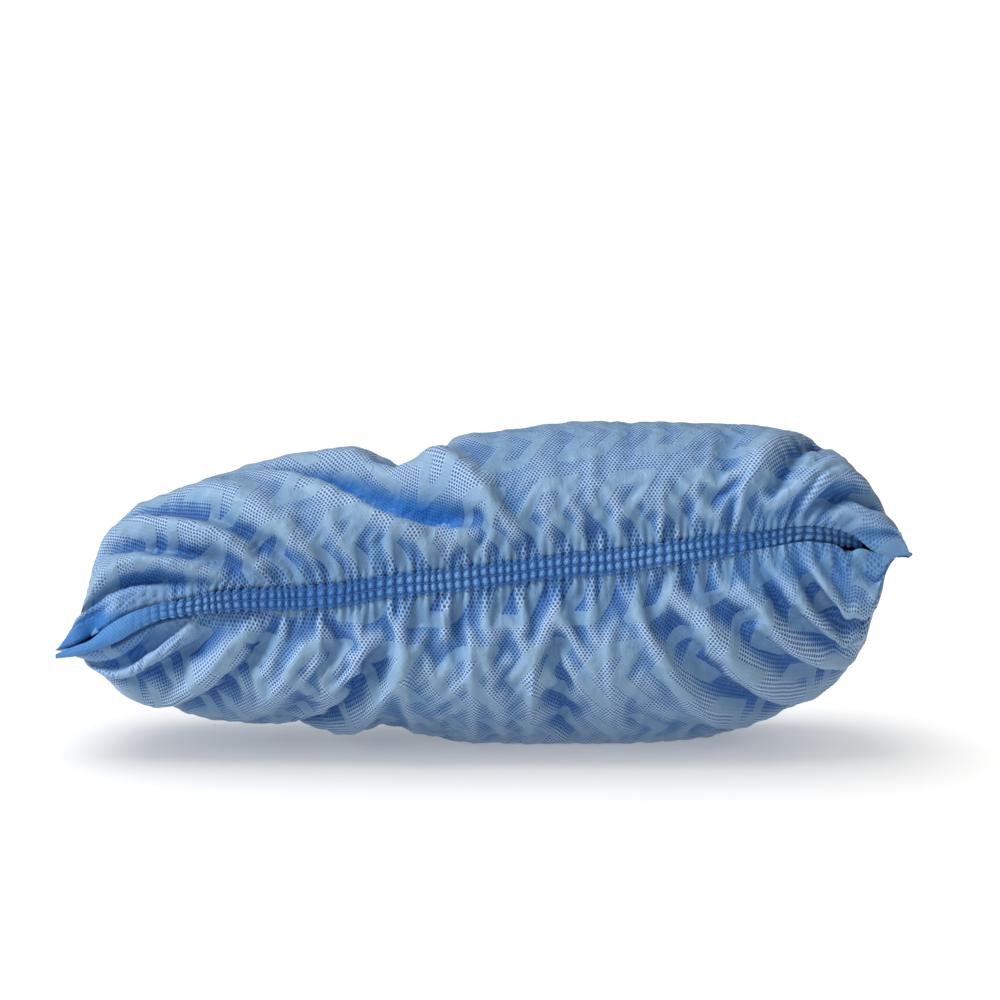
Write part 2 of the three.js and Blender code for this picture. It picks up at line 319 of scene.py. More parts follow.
@dataclass
class CoverForm:
    """The large shape of the pouch, in millimetres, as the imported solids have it.

    A section across the length is two arches, one above and one below a seam plane that climbs
    from the toe to the heel. The arches flatten into the two end seams.
    """

    flat_length: float = 400.0
    flat_width: float = 320.0
    squareness: float = 0.75
    mouth: float = 0.19
    # Scales the bulge so that sin a cos^4 a peaks at 1, and the last place that the hem is read at.
    bulge_scale: float = 3.49
    hem_reach: float = 159.0
    # The small hole at the heel end of the opening: its height, place and width.
    hole: tuple[float, float, float] = (3.6, 135.5, 2.6)
    sections: Table = field(
        default_factory=lambda: columns(
            "x band sole top bottom valley back bulge_up bulge_low",
            [
                (-160, 41, 46, 90, 6, -27, 36, 2, 2),
                (-140, 50, 48, 98, 4, -31, 39, 3, 3),
                (-120, 57, 50, 98.5, 4, -33, 41, 4, 4),
                (-100, 61, 52, 105, 3.2, -35, 42, 4.5, 5),
                (-75, 63, 54, 111, 4.5, -36, 44, 5, 6),
                (-50, 65, 56, 114, 2.2, -37, 45, 5, 7),
                (-35, 67, 57, 112, 5, -38, 45, 5, 7),
                (-10, 70, 59, 116.5, -1, -38, 45, 5, 8),
                (30, 74.5, 61, 122.5, -3, -38, 45, 5, 8),
                (70, 79, 63, 122.5, -3, -37, 45, 5, 8),
                (105, 83, 64, 121.5, -1, -35, 43, 5, 8),
                (130, 82.5, 65, 119, 0, -32, 40, 4, 6),
                (145, 79, 65, 113, 0, -30, 38, 3, 4),
                (160, 76.8, 66, 108, 2, -27, 37, 2, 2),
            ],
        )
    )
    end_seams: Table = field(
        default_factory=lambda: columns(
            "part left right",
            [
                (0, -160, 160),
                (0.12, -152, 158),
                (0.3, -150, 153.5),
                (0.55, -148, 150),
                (0.8, -138, 140),
                (1, -124, 127),
            ],
        )
    )
    # The visible hem: its lower and upper edge, its front, and how much the elastic gathers it.
    hem_line: Table = field(
        default_factory=lambda: columns(
            "x low high front gather",
            [
                (-159.5, 38.2, 39.6, -28, 0),
                (-152, 39.6, 43.2, -31, 0),
                (-146, 41.8, 46, -33, 0),
                (-140, 44, 51, -35, 0),
                (-134, 46.6, 55, -36.5, 0),
                (-129, 49.8, 57.4, -37, 0.08),
                (-123, 53, 59.2, -37, 0.3),
                (-117, 55.2, 60.6, -37, 0.7),
                (-108, 56.8, 62.4, -37.5, 1),
                (-97, 57.9, 65.2, -38, 1),
                (-57, 59.4, 67.8, -38.2, 1),
                (-31, 63.6, 72, -38.8, 1),
                (-8, 66, 74.4, -38.8, 1),
                (21, 69.6, 78, -38.8, 1),
                (51, 73, 81.4, -38.5, 1),
                (81, 77.2, 85.6, -37.4, 1),
                (104, 80.4, 88.4, -35, 1),
                (119, 82.6, 89.8, -31.5, 1),
                (130, 81.4, 88.6, -28.5, 1),
                (137, 80.4, 86.6, -26, 0.9),
                (141, 79.6, 83.4, -25, 0.7),
                (146, 77.6, 79, -25.5, 0.2),
                (152, 76.2, 77.4, -26, 0),
                (160, 76.2, 77.4, -27, 0),
            ],
        )
    )

    def flat_place(self, x: np.ndarray) -> np.ndarray:
        """Give the place along the flat sheet, in metres: 400 mm of cloth for 320 mm of length."""
        return (x + 160) * 1.25 * MM

    def column(self, name: str, x: np.ndarray) -> np.ndarray:
        """Read a column of the sections."""
        return read_table(self.sections, "x", name, x)

    def hem(self, name: str, x: np.ndarray) -> np.ndarray:
        """Read a column of the visible hem."""
        return read_table(self.hem_line, "x", name, x)

    def seam_x(self, side: str, part: np.ndarray) -> np.ndarray:
        """Give the x of an end seam, left or right, by its part from hem (0) to sole (1)."""
        return read_table(self.end_seams, "part", side, part)

    def seam_point(self, side: str, part: np.ndarray) -> np.ndarray:
        """Work out points of an end seam, whose depth and height go from the hem to the sole.

        Args:
            side: The left or the right seam.
            part: Places between the hem (0) and the sole (1).

        Returns:
            Points of shape (n, 3), in millimetres.
        """
        x = self.seam_x(side, part)
        back = (1 - np.cos(math.pi * part)) / 2
        y = mix(self.column("valley", x), self.column("back", x), back)
        z = mix(self.column("band", x), self.column("sole", x), back)
        return np.stack([x, y, z], axis=-1)

    def arch(self, lobe: Lobe, along: np.ndarray, part: np.ndarray) -> np.ndarray:
        """Work out points of one lobe without its folds.

        The depth goes from the valley to the sole as (1 - cos a) / 2 for an angle a of part times
        pi, less a bulge of sin a cos^4 a. The height over the seam plane is sin a to the power
        of squareness, times the fullness (1 - |along|^p)^(1/q), which is 0 at both seams.

        Args:
            lobe: The upper or the lower half.
            along: Place between the toe seam (-1) and the heel seam (1).
            part: Place between the hem (0) and the sole (1).

        Returns:
            Points in millimetres, with one more axis than along.
        """
        power, root = (7, 3) if lobe is Lobe.UPPER else (4.5, 2.4)
        x = mix(self.seam_x("left", part), self.seam_x("right", part), (along + 1) / 2)
        angle = math.pi * part
        back = (1 - np.cos(angle)) / 2
        rise = np.maximum(np.sin(angle), 0) ** self.squareness
        fullness = np.maximum(1 - np.abs(along) ** power, 0) ** (1 / root)
        band, sole = self.column("band", x), self.column("sole", x)
        middle = mix(band, sole, back)
        halfway = (band + sole) / 2
        closing = np.sqrt(np.clip((1 - np.abs(along)) / self.mouth, 0, 1))
        at_hem = np.clip(x, -self.hem_reach, self.hem_reach)
        if lobe is Lobe.UPPER:
            crown = self.column("top", x) - halfway
            lip = (self.hem("high", at_hem) - 0.5 - self.column("band", at_hem)) * closing
            bulge = self.column("bulge_up", x)
        else:
            crown = halfway - self.column("bottom", x)
            rise_there, hole_x, hole_width = self.hole
            hole = rise_there * np.exp(-(((x - hole_x) / hole_width) ** 2))
            lip = (self.column("band", at_hem) - self.hem("low", at_hem) - 0.7 + hole) * closing
            beak = smoothstep(1 - along, 0.025, 0.09)
            fullness = fullness * mix(beak, 1, smoothstep(part, 0.2, 0.45))
            bulge = self.column("bulge_low", x)
        height = lip * (1 - back) + (crown - lip / 2) * fullness * rise
        swing = bulge * fullness * self.bulge_scale * np.sin(angle) * np.cos(angle) ** 4
        forward = np.where(part < 0.5, swing, 0)
        y = mix(self.column("valley", x), self.column("back", x), back) - forward
        return np.stack([x, y, middle + lobe.value * height], axis=-1)


@dataclass
class Fold:
    """One dent (depth over 0) or ridge (under 0) that crosses a lobe, in millimetres.

    It runs from at_hem, its x at the hem, to at_crown, its x halfway round the lobe, between the
    parts start and stop of the lobe. sharp 1 is a round trough, and more is a crease.
    """

    lobe: Lobe
    at_hem: float
    at_crown: float
    width: float
    depth: float
    start: float
    stop: float
    sharp: float = 1.0

    def depth_at(self, x: np.ndarray, part: np.ndarray) -> np.ndarray:
        """Work out the depth of the fold: exp(-(distance / width)^2), or a sharper bell.

        It narrows towards the hem, sets in soon and fades out over its second half.

        Args:
            x: Places along the length.
            part: Places between the hem (0) and the sole (1).

        Returns:
            Depths in millimetres, in the shape of x.
        """
        line = mix(self.at_hem, self.at_crown, np.minimum(2 * part, 1))
        slant = math.hypot(1, (self.at_crown - self.at_hem) / 75)
        away = np.abs(x - line) / (self.width * slant * (0.5 + 0.5 * smoothstep(part, 0, 0.25)))
        across = np.exp(-(away ** (2 / self.sharp)))
        length = self.stop - self.start
        fade_in = smoothstep(part, self.start, self.start + length / 6)
        fade_out = 1 - smoothstep(part, self.stop - length / 2, self.stop)
        return self.depth * across * fade_in * fade_out


def cover_folds() -> list[Fold]:
    """List the main folds of the cover, from the toe to the heel.

    Returns:
        The folds of both lobes.
    """
    up, low = Lobe.UPPER, Lobe.LOWER
    return [
        # The pocket beside the instep with its rims, and the saddle over it
        Fold(up, 8, -92, 9.5, 16, 0.05, 0.56),
        Fold(up, 14, -36, 6, -6, 0.02, 0.55),
        Fold(up, -12, -110, 5.5, -4, 0.0, 0.5),
        Fold(up, -26, -26, 11, 12, 0.3, 1.0),
        Fold(up, -8, -8, 8, -2.5, 0.3, 1.0),
        # Folds that fan out over the toe
        Fold(up, -145, -160, 9, 4, -0.1, 0.2),
        Fold(up, -97, -335, 4.5, 7.5, 0.0, 0.34, 1.5),
        Fold(up, -93, -250, 5, -5, 0.0, 0.45),
        Fold(up, -84, -196, 5, 6.5, 0.0, 0.55, 1.4),
        Fold(up, -76, -172, 6, -5, 0.0, 0.55),
        Fold(up, -66, -150, 6, 5, 0.0, 0.55, 1.4),
        Fold(up, -58, -130, 7, -3.5, 0.01, 0.55),
        # Folds that fan out over the heel
        Fold(up, 84, 100, 6, 3, 0.02, 0.45, 1.3),
        Fold(up, 95, 120, 6, -3, 0.02, 0.5),
        Fold(up, 103, 133, 5, 5.5, 0.02, 0.6, 1.6),
        Fold(up, 113, 158, 5, -2.5, 0.01, 0.4),
        Fold(up, 121, 186, 5, 5.5, 0.01, 0.4, 1.5),
        Fold(up, 128, 230, 5, -3, 0.0, 0.3),
        # The lap across the lower lobe
        Fold(low, -30, -74, 4.5, 7.5, 0.05, 0.6, 1.5),
        Fold(low, -21, -62, 6, -4.0, 0.04, 0.48),
        # Folds that fan out under the toe
        Fold(low, -112, -270, 5, 4, 0.0, 0.3),
        Fold(low, -101, -228, 4.5, -4, 0.0, 0.4),
        Fold(low, -95, -185, 4.5, 6.5, 0.01, 0.42, 1.3),
        Fold(low, -88, -150, 5, -4, 0.01, 0.42),
        Fold(low, -77, -125, 5.5, 6, 0.01, 0.44, 1.3),
        Fold(low, -62, -102, 6, -3, 0.01, 0.42),
        Fold(low, -51, -84, 6, 4, 0.01, 0.42, 1.3),
        # Puckers under the middle, and folds that fan out under the heel
        Fold(low, 26, 34, 5, 6, 0.03, 0.45, 1.4),
        Fold(low, 54, 110, 5, -4, 0.01, 0.5),
        Fold(low, 63, 124, 5, 5.5, 0.01, 0.5, 1.3),
        Fold(low, 74, 140, 4.5, -4, 0.01, 0.5),
        Fold(low, 83, 156, 4.5, 5.5, 0.01, 0.5, 1.3),
        Fold(low, 91, 172, 4.5, -4, 0.01, 0.45),
        Fold(low, 99, 180, 4.5, 5.5, 0.01, 0.45, 1.3),
        Fold(low, 107, 188, 4, -3.5, 0.01, 0.4),
        Fold(low, 112, 202, 4, 4.5, 0.01, 0.4, 1.3),
        Fold(low, 117, 216, 4, -3, 0.0, 0.35),
    ]


@dataclass
class Relaxer:
    """Lets the sheet find its own wrinkles: position-based cloth on a grid.

    The sheet starts in its large shape with more cloth along its length than that shape needs.
    Each round moves neighbouring points towards their flat distance, keeps neighbours but one
    from folding up, pulls the sheet softly to the large shape and keeps it over the floor.
    """

    rounds: int = 600
    bend: float = 0.25
    squeeze: float = 0.7
    shear: float = 0.25
    lift: float = 0.4
    # Extra cloth across the sheet, as a share, and the share of the slack that a diagonal gets.
    cross_slack: float = 0.012
    diagonal_slack: float = 0.5

    def spring(
        self, grid: np.ndarray, a: tuple, b: tuple, rest: np.ndarray, squeeze: float
    ) -> None:
        """Move the points of two slices towards their rest distance, half each.

        Args:
            grid: Points, changed in place.
            a: Slices of the first points.
            b: Slices of the second points.
            rest: Rest distances.
            squeeze: Share of the correction that is made where a distance is too short.
        """
        gap = grid[b] - grid[a]
        length = np.sqrt(np.einsum("ijk,ijk->ij", gap, gap)) + 1e-9
        strain = (length - rest) / length
        strain = np.where(strain < 0, strain * squeeze, strain) * 0.5
        gap *= strain[..., None]
        grid[a] += gap
        grid[b] -= gap

    def links(self, shape: tuple[int, int]) -> list[tuple[tuple, tuple, float]]:
        """List the slices of linked points: edges, diagonals and neighbours but one or two.

        Args:
            shape: Size of the grid.

        Returns:
            Pairs of slices that share no point, each with its share of a squeeze correction.
        """
        n, m = shape
        whole = slice(None)
        found = []
        for step, share in ((1, self.squeeze), (2, self.bend), (4, self.bend)):
            for start in range(step):
                for shift in (0, step):
                    first, pair = start + shift, 2 * step
                    rows = slice(first, n - step, pair), slice(first + step, n, pair)
                    cols = slice(first, m - step, pair), slice(first + step, m, pair)
                    found.append(((rows[0], whole), (rows[1], whole), share))
                    found.append(((whole, cols[0]), (whole, cols[1]), share))
        for shift in (0, 1):
            rows = slice(shift, n - 1, 2), slice(shift + 1, n, 2)
            found.append(((rows[0], slice(0, m - 1)), (rows[1], slice(1, m)), self.shear))
            found.append(((rows[0], slice(1, m)), (rows[1], slice(0, m - 1)), self.shear))
        return found

    def run(self, start: np.ndarray, target: np.ndarray, slack: np.ndarray, pull: np.ndarray) -> np.ndarray:
        """Relax the sheet.

        Args:
            start: Points of the large shape with its folds, in millimetres.
            target: Points of the large shape, whose distances are the flat ones before slack.
            slack: Extra length along the sheet, as a share, at each point.
            pull: Share of the way back to start that each point is moved in a round.

        Returns:
            The relaxed points.
        """
        grid = start.copy()
        links = []
        for a, b, squeeze in self.links(grid.shape[:2]):
            length = np.linalg.norm(target[b] - target[a], axis=2)
            along = (slack[a] + slack[b]) / 2 if a[0] != slice(None) else self.cross_slack
            if a[0] != slice(None) and a[1] != slice(None):
                along = along * self.diagonal_slack
            folded = np.linalg.norm(start[b] - start[a], axis=2)
            links.append((a, b, np.maximum(length * (1 + along), folded), squeeze))
        pull = pull[..., None]
        floor = np.minimum(start[..., 2], self.lift)
        for _ in range(self.rounds):
            for a, b, rest, squeeze in links:
                self.spring(grid, a, b, rest, squeeze)
            grid += (start - grid) * pull
            sew_ends(grid)
            np.maximum(grid[..., 2], floor, out=grid[..., 2])
        return grid


# ---------------------------------------------------------------------------------------------
# Finishes
# ---------------------------------------------------------------------------------------------


class Nodes:
    """Builds a node tree with short calls."""

    def __init__(self, tree: bpy.types.NodeTree) -> None:
        """Keep the tree that nodes are added to."""
        self.tree = tree

    def add(self, kind: str, **settings: object) -> bpy.types.Node:
        """Add a node of the given kind and set its properties."""
        node = self.tree.nodes.new(kind)
        for name, value in settings.items():
            setattr(node, name, value)
        return node

    def feed(self, socket: bpy.types.NodeSocket, value: object) -> None:
        """Link an output to a socket, or set the socket's own value."""
        if isinstance(value, bpy.types.NodeSocket):
            self.tree.links.new(value, socket)
        else:
            socket.default_value = value

    def math(self, operation: str, *values: object) -> bpy.types.NodeSocket:
        """Add a Math node and return its result."""
        node = self.add("ShaderNodeMath", operation=operation)
        for socket, value in zip(node.inputs, values):
            self.feed(socket, value)
        return node.outputs[0]

    def vector(self, operation: str, *values: object) -> bpy.types.NodeSocket:
        """Add a Vector Math node and return its vector, or its number for a length."""
        node = self.add("ShaderNodeVectorMath", operation=operation)
        for socket, value in zip(node.inputs, values):
            self.feed(socket, value)
        return node.outputs["Value" if operation == "LENGTH" else "Vector"]

    def ramp(self, value: object, low: object, high: object) -> bpy.types.NodeSocket:
        """Rise smoothly from 0 at low to 1 at high."""
        node = self.add("ShaderNodeMapRange", interpolation_type="SMOOTHSTEP")
        for name, given in (("Value", value), ("From Min", low), ("From Max", high)):
            self.feed(node.inputs[name], given)
        return node.outputs["Result"]

    def blend(self, share: object, a: object, b: object) -> bpy.types.NodeSocket:
        """Mix two colours."""
        node = self.add("ShaderNodeMix", data_type="RGBA")
        self.feed(node.inputs[0], share)
        self.feed(node.inputs[6], a)
        self.feed(node.inputs[7], b)
        return node.outputs[2]

    def noise(self, place: object, scale: float, detail: float = 2.0) -> bpy.types.NodeSocket:
        """Add a noise texture and return its value."""
        node = self.add("ShaderNodeTexNoise")
        self.feed(node.inputs["Vector"], place)
        self.feed(node.inputs["Scale"], scale)
        self.feed(node.inputs["Detail"], detail)
        return node.outputs["Fac"]


def set_inputs(node: bpy.types.Node, values: dict[str, object]) -> None:
    """Set a node's own sockets, by name, to values that hold all over the surface."""
    for socket, value in values.items():
        node.inputs[socket].default_value = value


def new_group(
    name: str, inputs: dict[str, str], outputs: dict[str, str]
) -> tuple[bpy.types.NodeTree, Nodes]:
    """Start a shader node group with named sockets.

    Args:
        name: Name of the group.
        inputs: Socket names and their types, such as Float or Vector.
        outputs: The same for the outputs.

    Returns:
        The group and a builder for its nodes, with the group's input and output nodes in it.
    """
    tree = bpy.data.node_groups.new(name, "ShaderNodeTree")
    for side, sockets in (("INPUT", inputs), ("OUTPUT", outputs)):
        for socket, kind in sockets.items():
            tree.interface.new_socket(socket, in_out=side, socket_type=f"NodeSocket{kind}")
    nodes = Nodes(tree)
    nodes.add("NodeGroupInput", name="in")
    nodes.add("NodeGroupOutput", name="out")
    return tree, nodes


def bond_points_group() -> bpy.types.NodeTree:
    """Build the lattice of pressed bond points of spunbond cloth.

    Two square grids, half a cell apart, give the nearest point; the mask is 1 within its radius.

    Returns:
        The group: Cloth (mm) and Radius in, Points out.
    """
    tree, nodes = new_group("bond_points", {"Cloth": "Vector", "Radius": "Float"}, {"Points": "Float"})
    given, out = tree.nodes["in"], tree.nodes["out"]
    cell, blur = (1.42, 1.95, 1.0), 0.16
    scaled = nodes.vector("DIVIDE", given.outputs["Cloth"], cell)
    distances = []
    for shift in ((0.0, 0.0, 0.0), (0.5, 0.5, 0.0)):
        local = nodes.vector("FRACTION", nodes.vector("ADD", scaled, shift))
        centred = nodes.vector("SUBTRACT", local, (0.5, 0.5, 0.0))
        flat = nodes.vector("MULTIPLY", centred, (cell[0], cell[1], 0.0))
        distances.append(nodes.vector("LENGTH", flat))
    nearest = nodes.math("MINIMUM", *distances)
    inner = nodes.math("SUBTRACT", given.outputs["Radius"], blur)
    outer = nodes.math("ADD", given.outputs["Radius"], blur)
    nodes.feed(out.inputs["Points"], nodes.math("SUBTRACT", 1.0, nodes.ramp(nearest, inner, outer)))
    return tree


def tread_print_group() -> bpy.types.NodeTree:
    """Build the non-skid print: rows of hairpins whose two legs bend like an arrowhead.

    In each cell the place across is skewed by the distance from the cell's middle, which bends the
    legs. A hairpin is then a rounded block less a smaller rounded block that is open at one end.
    Every other row is turned the other way.

    Returns:
        The group: Cloth (mm) in, Print out.
    """
    tree, nodes = new_group("tread_print", {"Cloth": "Vector"}, {"Print": "Float"})
    given, out = tree.nodes["in"], tree.nodes["out"]
    pitch, row = 28.5, 34.0
    # Whole rows and hairpins added so that no place is under 0, the legs' slope and the edge's blur.
    rows_before, hairpins_before, slope, blur = 40.0, 40.0, 0.75, 0.25
    split = nodes.add("ShaderNodeSeparateXYZ")
    nodes.feed(split.inputs[0], given.outputs["Cloth"])
    lane = nodes.math("DIVIDE", split.outputs[1], row)
    odd = nodes.math("MODULO", nodes.math("FLOOR", nodes.math("ADD", lane, rows_before + 1)), 2.0)
    turn = nodes.math("SUBTRACT", nodes.math("MULTIPLY", odd, 2.0), 1.0)
    in_lane = nodes.math("FRACT", nodes.math("ADD", lane, rows_before))
    up = nodes.math("MULTIPLY", nodes.math("SUBTRACT", in_lane, 0.5), row)
    up = nodes.math("MULTIPLY", up, turn)
    bend = nodes.math("MULTIPLY", nodes.math("ABSOLUTE", up), slope)
    across = nodes.math("MULTIPLY", split.outputs[0], turn)
    skewed = nodes.math("DIVIDE", nodes.math("SUBTRACT", across, bend), pitch)
    in_pitch = nodes.math("FRACT", nodes.math("ADD", skewed, hairpins_before))
    skewed = nodes.math("SUBTRACT", in_pitch, 0.5)
    side = nodes.math("ABSOLUTE", nodes.math("MULTIPLY", skewed, pitch))

    def block(half_width: float, top: float, radius: float) -> bpy.types.NodeSocket:
        """Give a mask of a block with rounded top corners, from the distance past its corner."""
        beside = nodes.math("MAXIMUM", nodes.math("SUBTRACT", side, half_width - radius), 0.0)
        above = nodes.math("MAXIMUM", nodes.math("SUBTRACT", up, top - radius), 0.0)
        squares = [nodes.math("POWER", past, 2.0) for past in (beside, above)]
        corner = nodes.math("SQRT", nodes.math("ADD", *squares))
        return nodes.math("SUBTRACT", 1.0, nodes.ramp(corner, radius - blur, radius + blur))

    outer, inner = block(9.4, 14.0, 4.0), block(3.3, 8.4, 1.0)
    foot = nodes.ramp(up, -13.4, -12.9)
    legs = nodes.math("MULTIPLY", outer, nodes.math("SUBTRACT", 1.0, inner))
    hairpin = nodes.math("MULTIPLY", legs, foot)
    nodes.feed(out.inputs["Print"], hairpin)
    return tree


def crumple_group() -> bpy.types.NodeTree:
    """Build the small relief of limp cloth: soft crumples, fine ribs across them and fibre grain.

    Returns:
        The group: Cloth (mm) in, Height (mm) and Patches out.
    """
    tree, nodes = new_group("crumple", {"Cloth": "Vector"}, {"Height": "Float", "Patches": "Float"})
    given, out = tree.nodes["in"], tree.nodes["out"]
    cloth = given.outputs["Cloth"]
    folds = nodes.math("ABSOLUTE", nodes.math("SUBTRACT", nodes.noise(cloth, 0.13, 3.0), 0.5))
    soft = nodes.math("MULTIPLY", folds, -2.2)
    ribs_place = nodes.vector("MULTIPLY", cloth, (0.9, 0.14, 1.0))
    ribs = nodes.math("MULTIPLY", nodes.noise(ribs_place, 1.0, 1.0), 0.22)
    grain = nodes.math("MULTIPLY", nodes.noise(cloth, 2.6, 2.0), 0.05)
    nodes.feed(out.inputs["Height"], nodes.math("ADD", nodes.math("ADD", soft, ribs), grain))
    nodes.feed(out.inputs["Patches"], nodes.ramp(nodes.noise(cloth, 0.05, 2.0), 0.35, 0.7))
    return tree


@dataclass(frozen=True)
class ClothFinish:
    """Spunbond cloth: pale ground, navy bond points, a translucent tread print and fine crumples, with
    highlights, shade and light through the cloth painted into its colour.
    """

    name: str
    ground: tuple[float, float, float] = (0.15, 0.34, 0.62)
    # Painted highlight: the pale colour laid on crests of wrinkles and puffs, where light falls.
    pale: tuple[float, float, float] = (0.57, 0.77, 0.95)
    # Painted shade: the deep blue laid in hollows and creases, and on pieces that lie in shade.
    deep: tuple[float, float, float] = (0.02, 0.125, 0.41)
    # Painted shade and light shining through the thin cloth: saturated blue laid where the bond points fade.
    lining: tuple[float, float, float] = (0.025, 0.195, 0.56)
    point: tuple[float, float, float] = (0.007, 0.045, 0.21)
    ink: tuple[float, float, float] = (0.17, 0.30, 0.45)
    point_radius: float = 0.44
    printed: bool = True
    relief: float = 0.7
    patch_shade: float = 0.93
    # How much of each colour is laid over the ones before it.
    painted_highlight_share: float = 0.6
    painted_shade_share: float = 0.8
    painted_translucence_share: float = 0.88
    point_share: float = 0.88
    ink_share: float = 0.68
    # Share of the points that the print fills, and heights of a point and of the print.
    filled: float = 0.88
    point_height: float = -0.16
    ink_height: float = 0.12

    def make(self, groups: dict[str, bpy.types.NodeTree]) -> bpy.types.Material:
        """Build the material.

        Args:
            groups: The shared node groups by name.

        Returns:
            The material, which reads the UV map Cloth in metres and the values Hollow, Crest and Inside,
            which paint shade into hollows, highlights onto crests and light shining through the thin cloth;
            a value that a piece lacks counts as 0.
        """
        material = bpy.data.materials.new(self.name)
        material.use_nodes = True
        tree = material.node_tree
        tree.nodes.clear()
        nodes = Nodes(tree)
        uv = nodes.add("ShaderNodeUVMap", uv_map="Cloth").outputs[0]
        cloth = nodes.vector("MULTIPLY", uv, (1 / MM, 1 / MM, 0.0))
        painted_shade, painted_translucence, painted_highlight = (
            nodes.add("ShaderNodeAttribute", attribute_name=value).outputs["Fac"]
            for value in ("PaintedShade", "Inside", "PaintedHighlight")
        )

        def group(name: str, **values: object) -> bpy.types.Node:
            """Place a shared group on the cloth's map, with its own values."""
            node = nodes.add("ShaderNodeGroup", node_tree=groups[name])
            nodes.feed(node.inputs["Cloth"], cloth)
            for socket, value in values.items():
                nodes.feed(node.inputs[socket], value)
            return node

        crumple = group("crumple")
        points = group("bond_points", Radius=self.point_radius).outputs["Points"]
        shaded = (*[self.patch_shade * c for c in self.ground], 1)
        colour = nodes.blend(crumple.outputs["Patches"], shaded, (*self.ground, 1))
        for value, share, over in (
            # painted highlight on crests
            (painted_highlight, self.painted_highlight_share, self.pale),
            # painted shade in hollows and creases
            (painted_shade, self.painted_shade_share, self.deep),
            # saturated blue painted as shade and as light through the cloth, where the bond points fade
            (painted_translucence, self.painted_translucence_share, self.lining),
        ):
            colour = nodes.blend(nodes.math("MULTIPLY", value, share), colour, (*over, 1))
        shallow = nodes.math("SUBTRACT", 1.0, painted_translucence)
        dots = nodes.math("MULTIPLY", nodes.math("MULTIPLY", points, self.point_share), shallow)
        height = nodes.math("MULTIPLY", points, self.point_height)
        roughness: object = 0.62
        if self.printed:
            ink = group("tread_print").outputs["Print"]
            bare = nodes.math("SUBTRACT", 1.0, nodes.math("MULTIPLY", ink, self.filled))
            faint = nodes.math("MULTIPLY", nodes.math("MULTIPLY", ink, self.ink_share), shallow)
            colour = nodes.blend(faint, colour, (*self.ink, 1))
            dots = nodes.math("MULTIPLY", dots, bare)
            raised = nodes.math("MULTIPLY", ink, self.ink_height)
            height = nodes.math("ADD", nodes.math("MULTIPLY", height, bare), raised)
            roughness = nodes.math("SUBTRACT", 0.64, nodes.math("MULTIPLY", ink, 0.16))
        colour = nodes.blend(dots, colour, (*self.point, 1))
        bump = nodes.add("ShaderNodeBump")
        nodes.feed(bump.inputs["Strength"], 1.0)
        nodes.feed(bump.inputs["Distance"], self.relief * MM)
        nodes.feed(bump.inputs["Height"], nodes.math("ADD", crumple.outputs["Height"], height))
        shader = nodes.add("ShaderNodeBsdfPrincipled")
        nodes.feed(shader.inputs["Base Color"], colour)
        nodes.feed(shader.inputs["Roughness"], roughness)
        nodes.feed(shader.inputs["Normal"], bump.outputs[0])
        constants = {
            "Subsurface Weight": 0.08,
            "Subsurface Radius": (0.3, 0.6, 1.0),
            "Subsurface Scale": 0.8 * MM,
            "Sheen Weight": 0.12,
            "Sheen Roughness": 0.4,
            "Sheen Tint": (0.75, 0.87, 1.0, 1),
            "Specular IOR Level": 0.3,
        }
        set_inputs(shader, constants)
        output = nodes.add("ShaderNodeOutputMaterial")
        nodes.feed(output.inputs["Surface"], shader.outputs[0])
        return material


@dataclass(frozen=True)
class ThreadFinish:
    """Twisted polyester thread."""

    name: str
    colour: tuple[float, float, float]

    def make(self) -> bpy.types.Material:
        """Build the material: stripes of twist along the thread, from waves over Object coordinates, with
        shade painted into the grooves between turns.

        Returns:
            The material.
        """
        material = bpy.data.materials.new(self.name)
        material.use_nodes = True
        nodes = Nodes(material.node_tree)
        shader = material.node_tree.nodes["Principled BSDF"]
        place = nodes.add("ShaderNodeTexCoord").outputs["Object"]
        twist = nodes.add("ShaderNodeTexWave", wave_profile="SIN")
        nodes.feed(twist.inputs["Vector"], place)
        nodes.feed(twist.inputs["Scale"], 1800.0)
        # Painted shade: the thread's colour darkened in the grooves of the twist, where the bump is low.
        painted_groove_shade = tuple(0.55 * c for c in self.colour)
        colour = nodes.blend(twist.outputs["Fac"], (*painted_groove_shade, 1), (*self.colour, 1))
        nodes.feed(shader.inputs["Base Color"], colour)
        set_inputs(shader, {"Roughness": 0.5, "Sheen Weight": 0.3})
        bump = nodes.add("ShaderNodeBump")
        nodes.feed(bump.inputs["Distance"], 0.05 * MM)
        nodes.feed(bump.inputs["Height"], twist.outputs["Fac"])
        nodes.feed(shader.inputs["Normal"], bump.outputs[0])
        return material


# ---------------------------------------------------------------------------------------------
# The sheet
# ---------------------------------------------------------------------------------------------


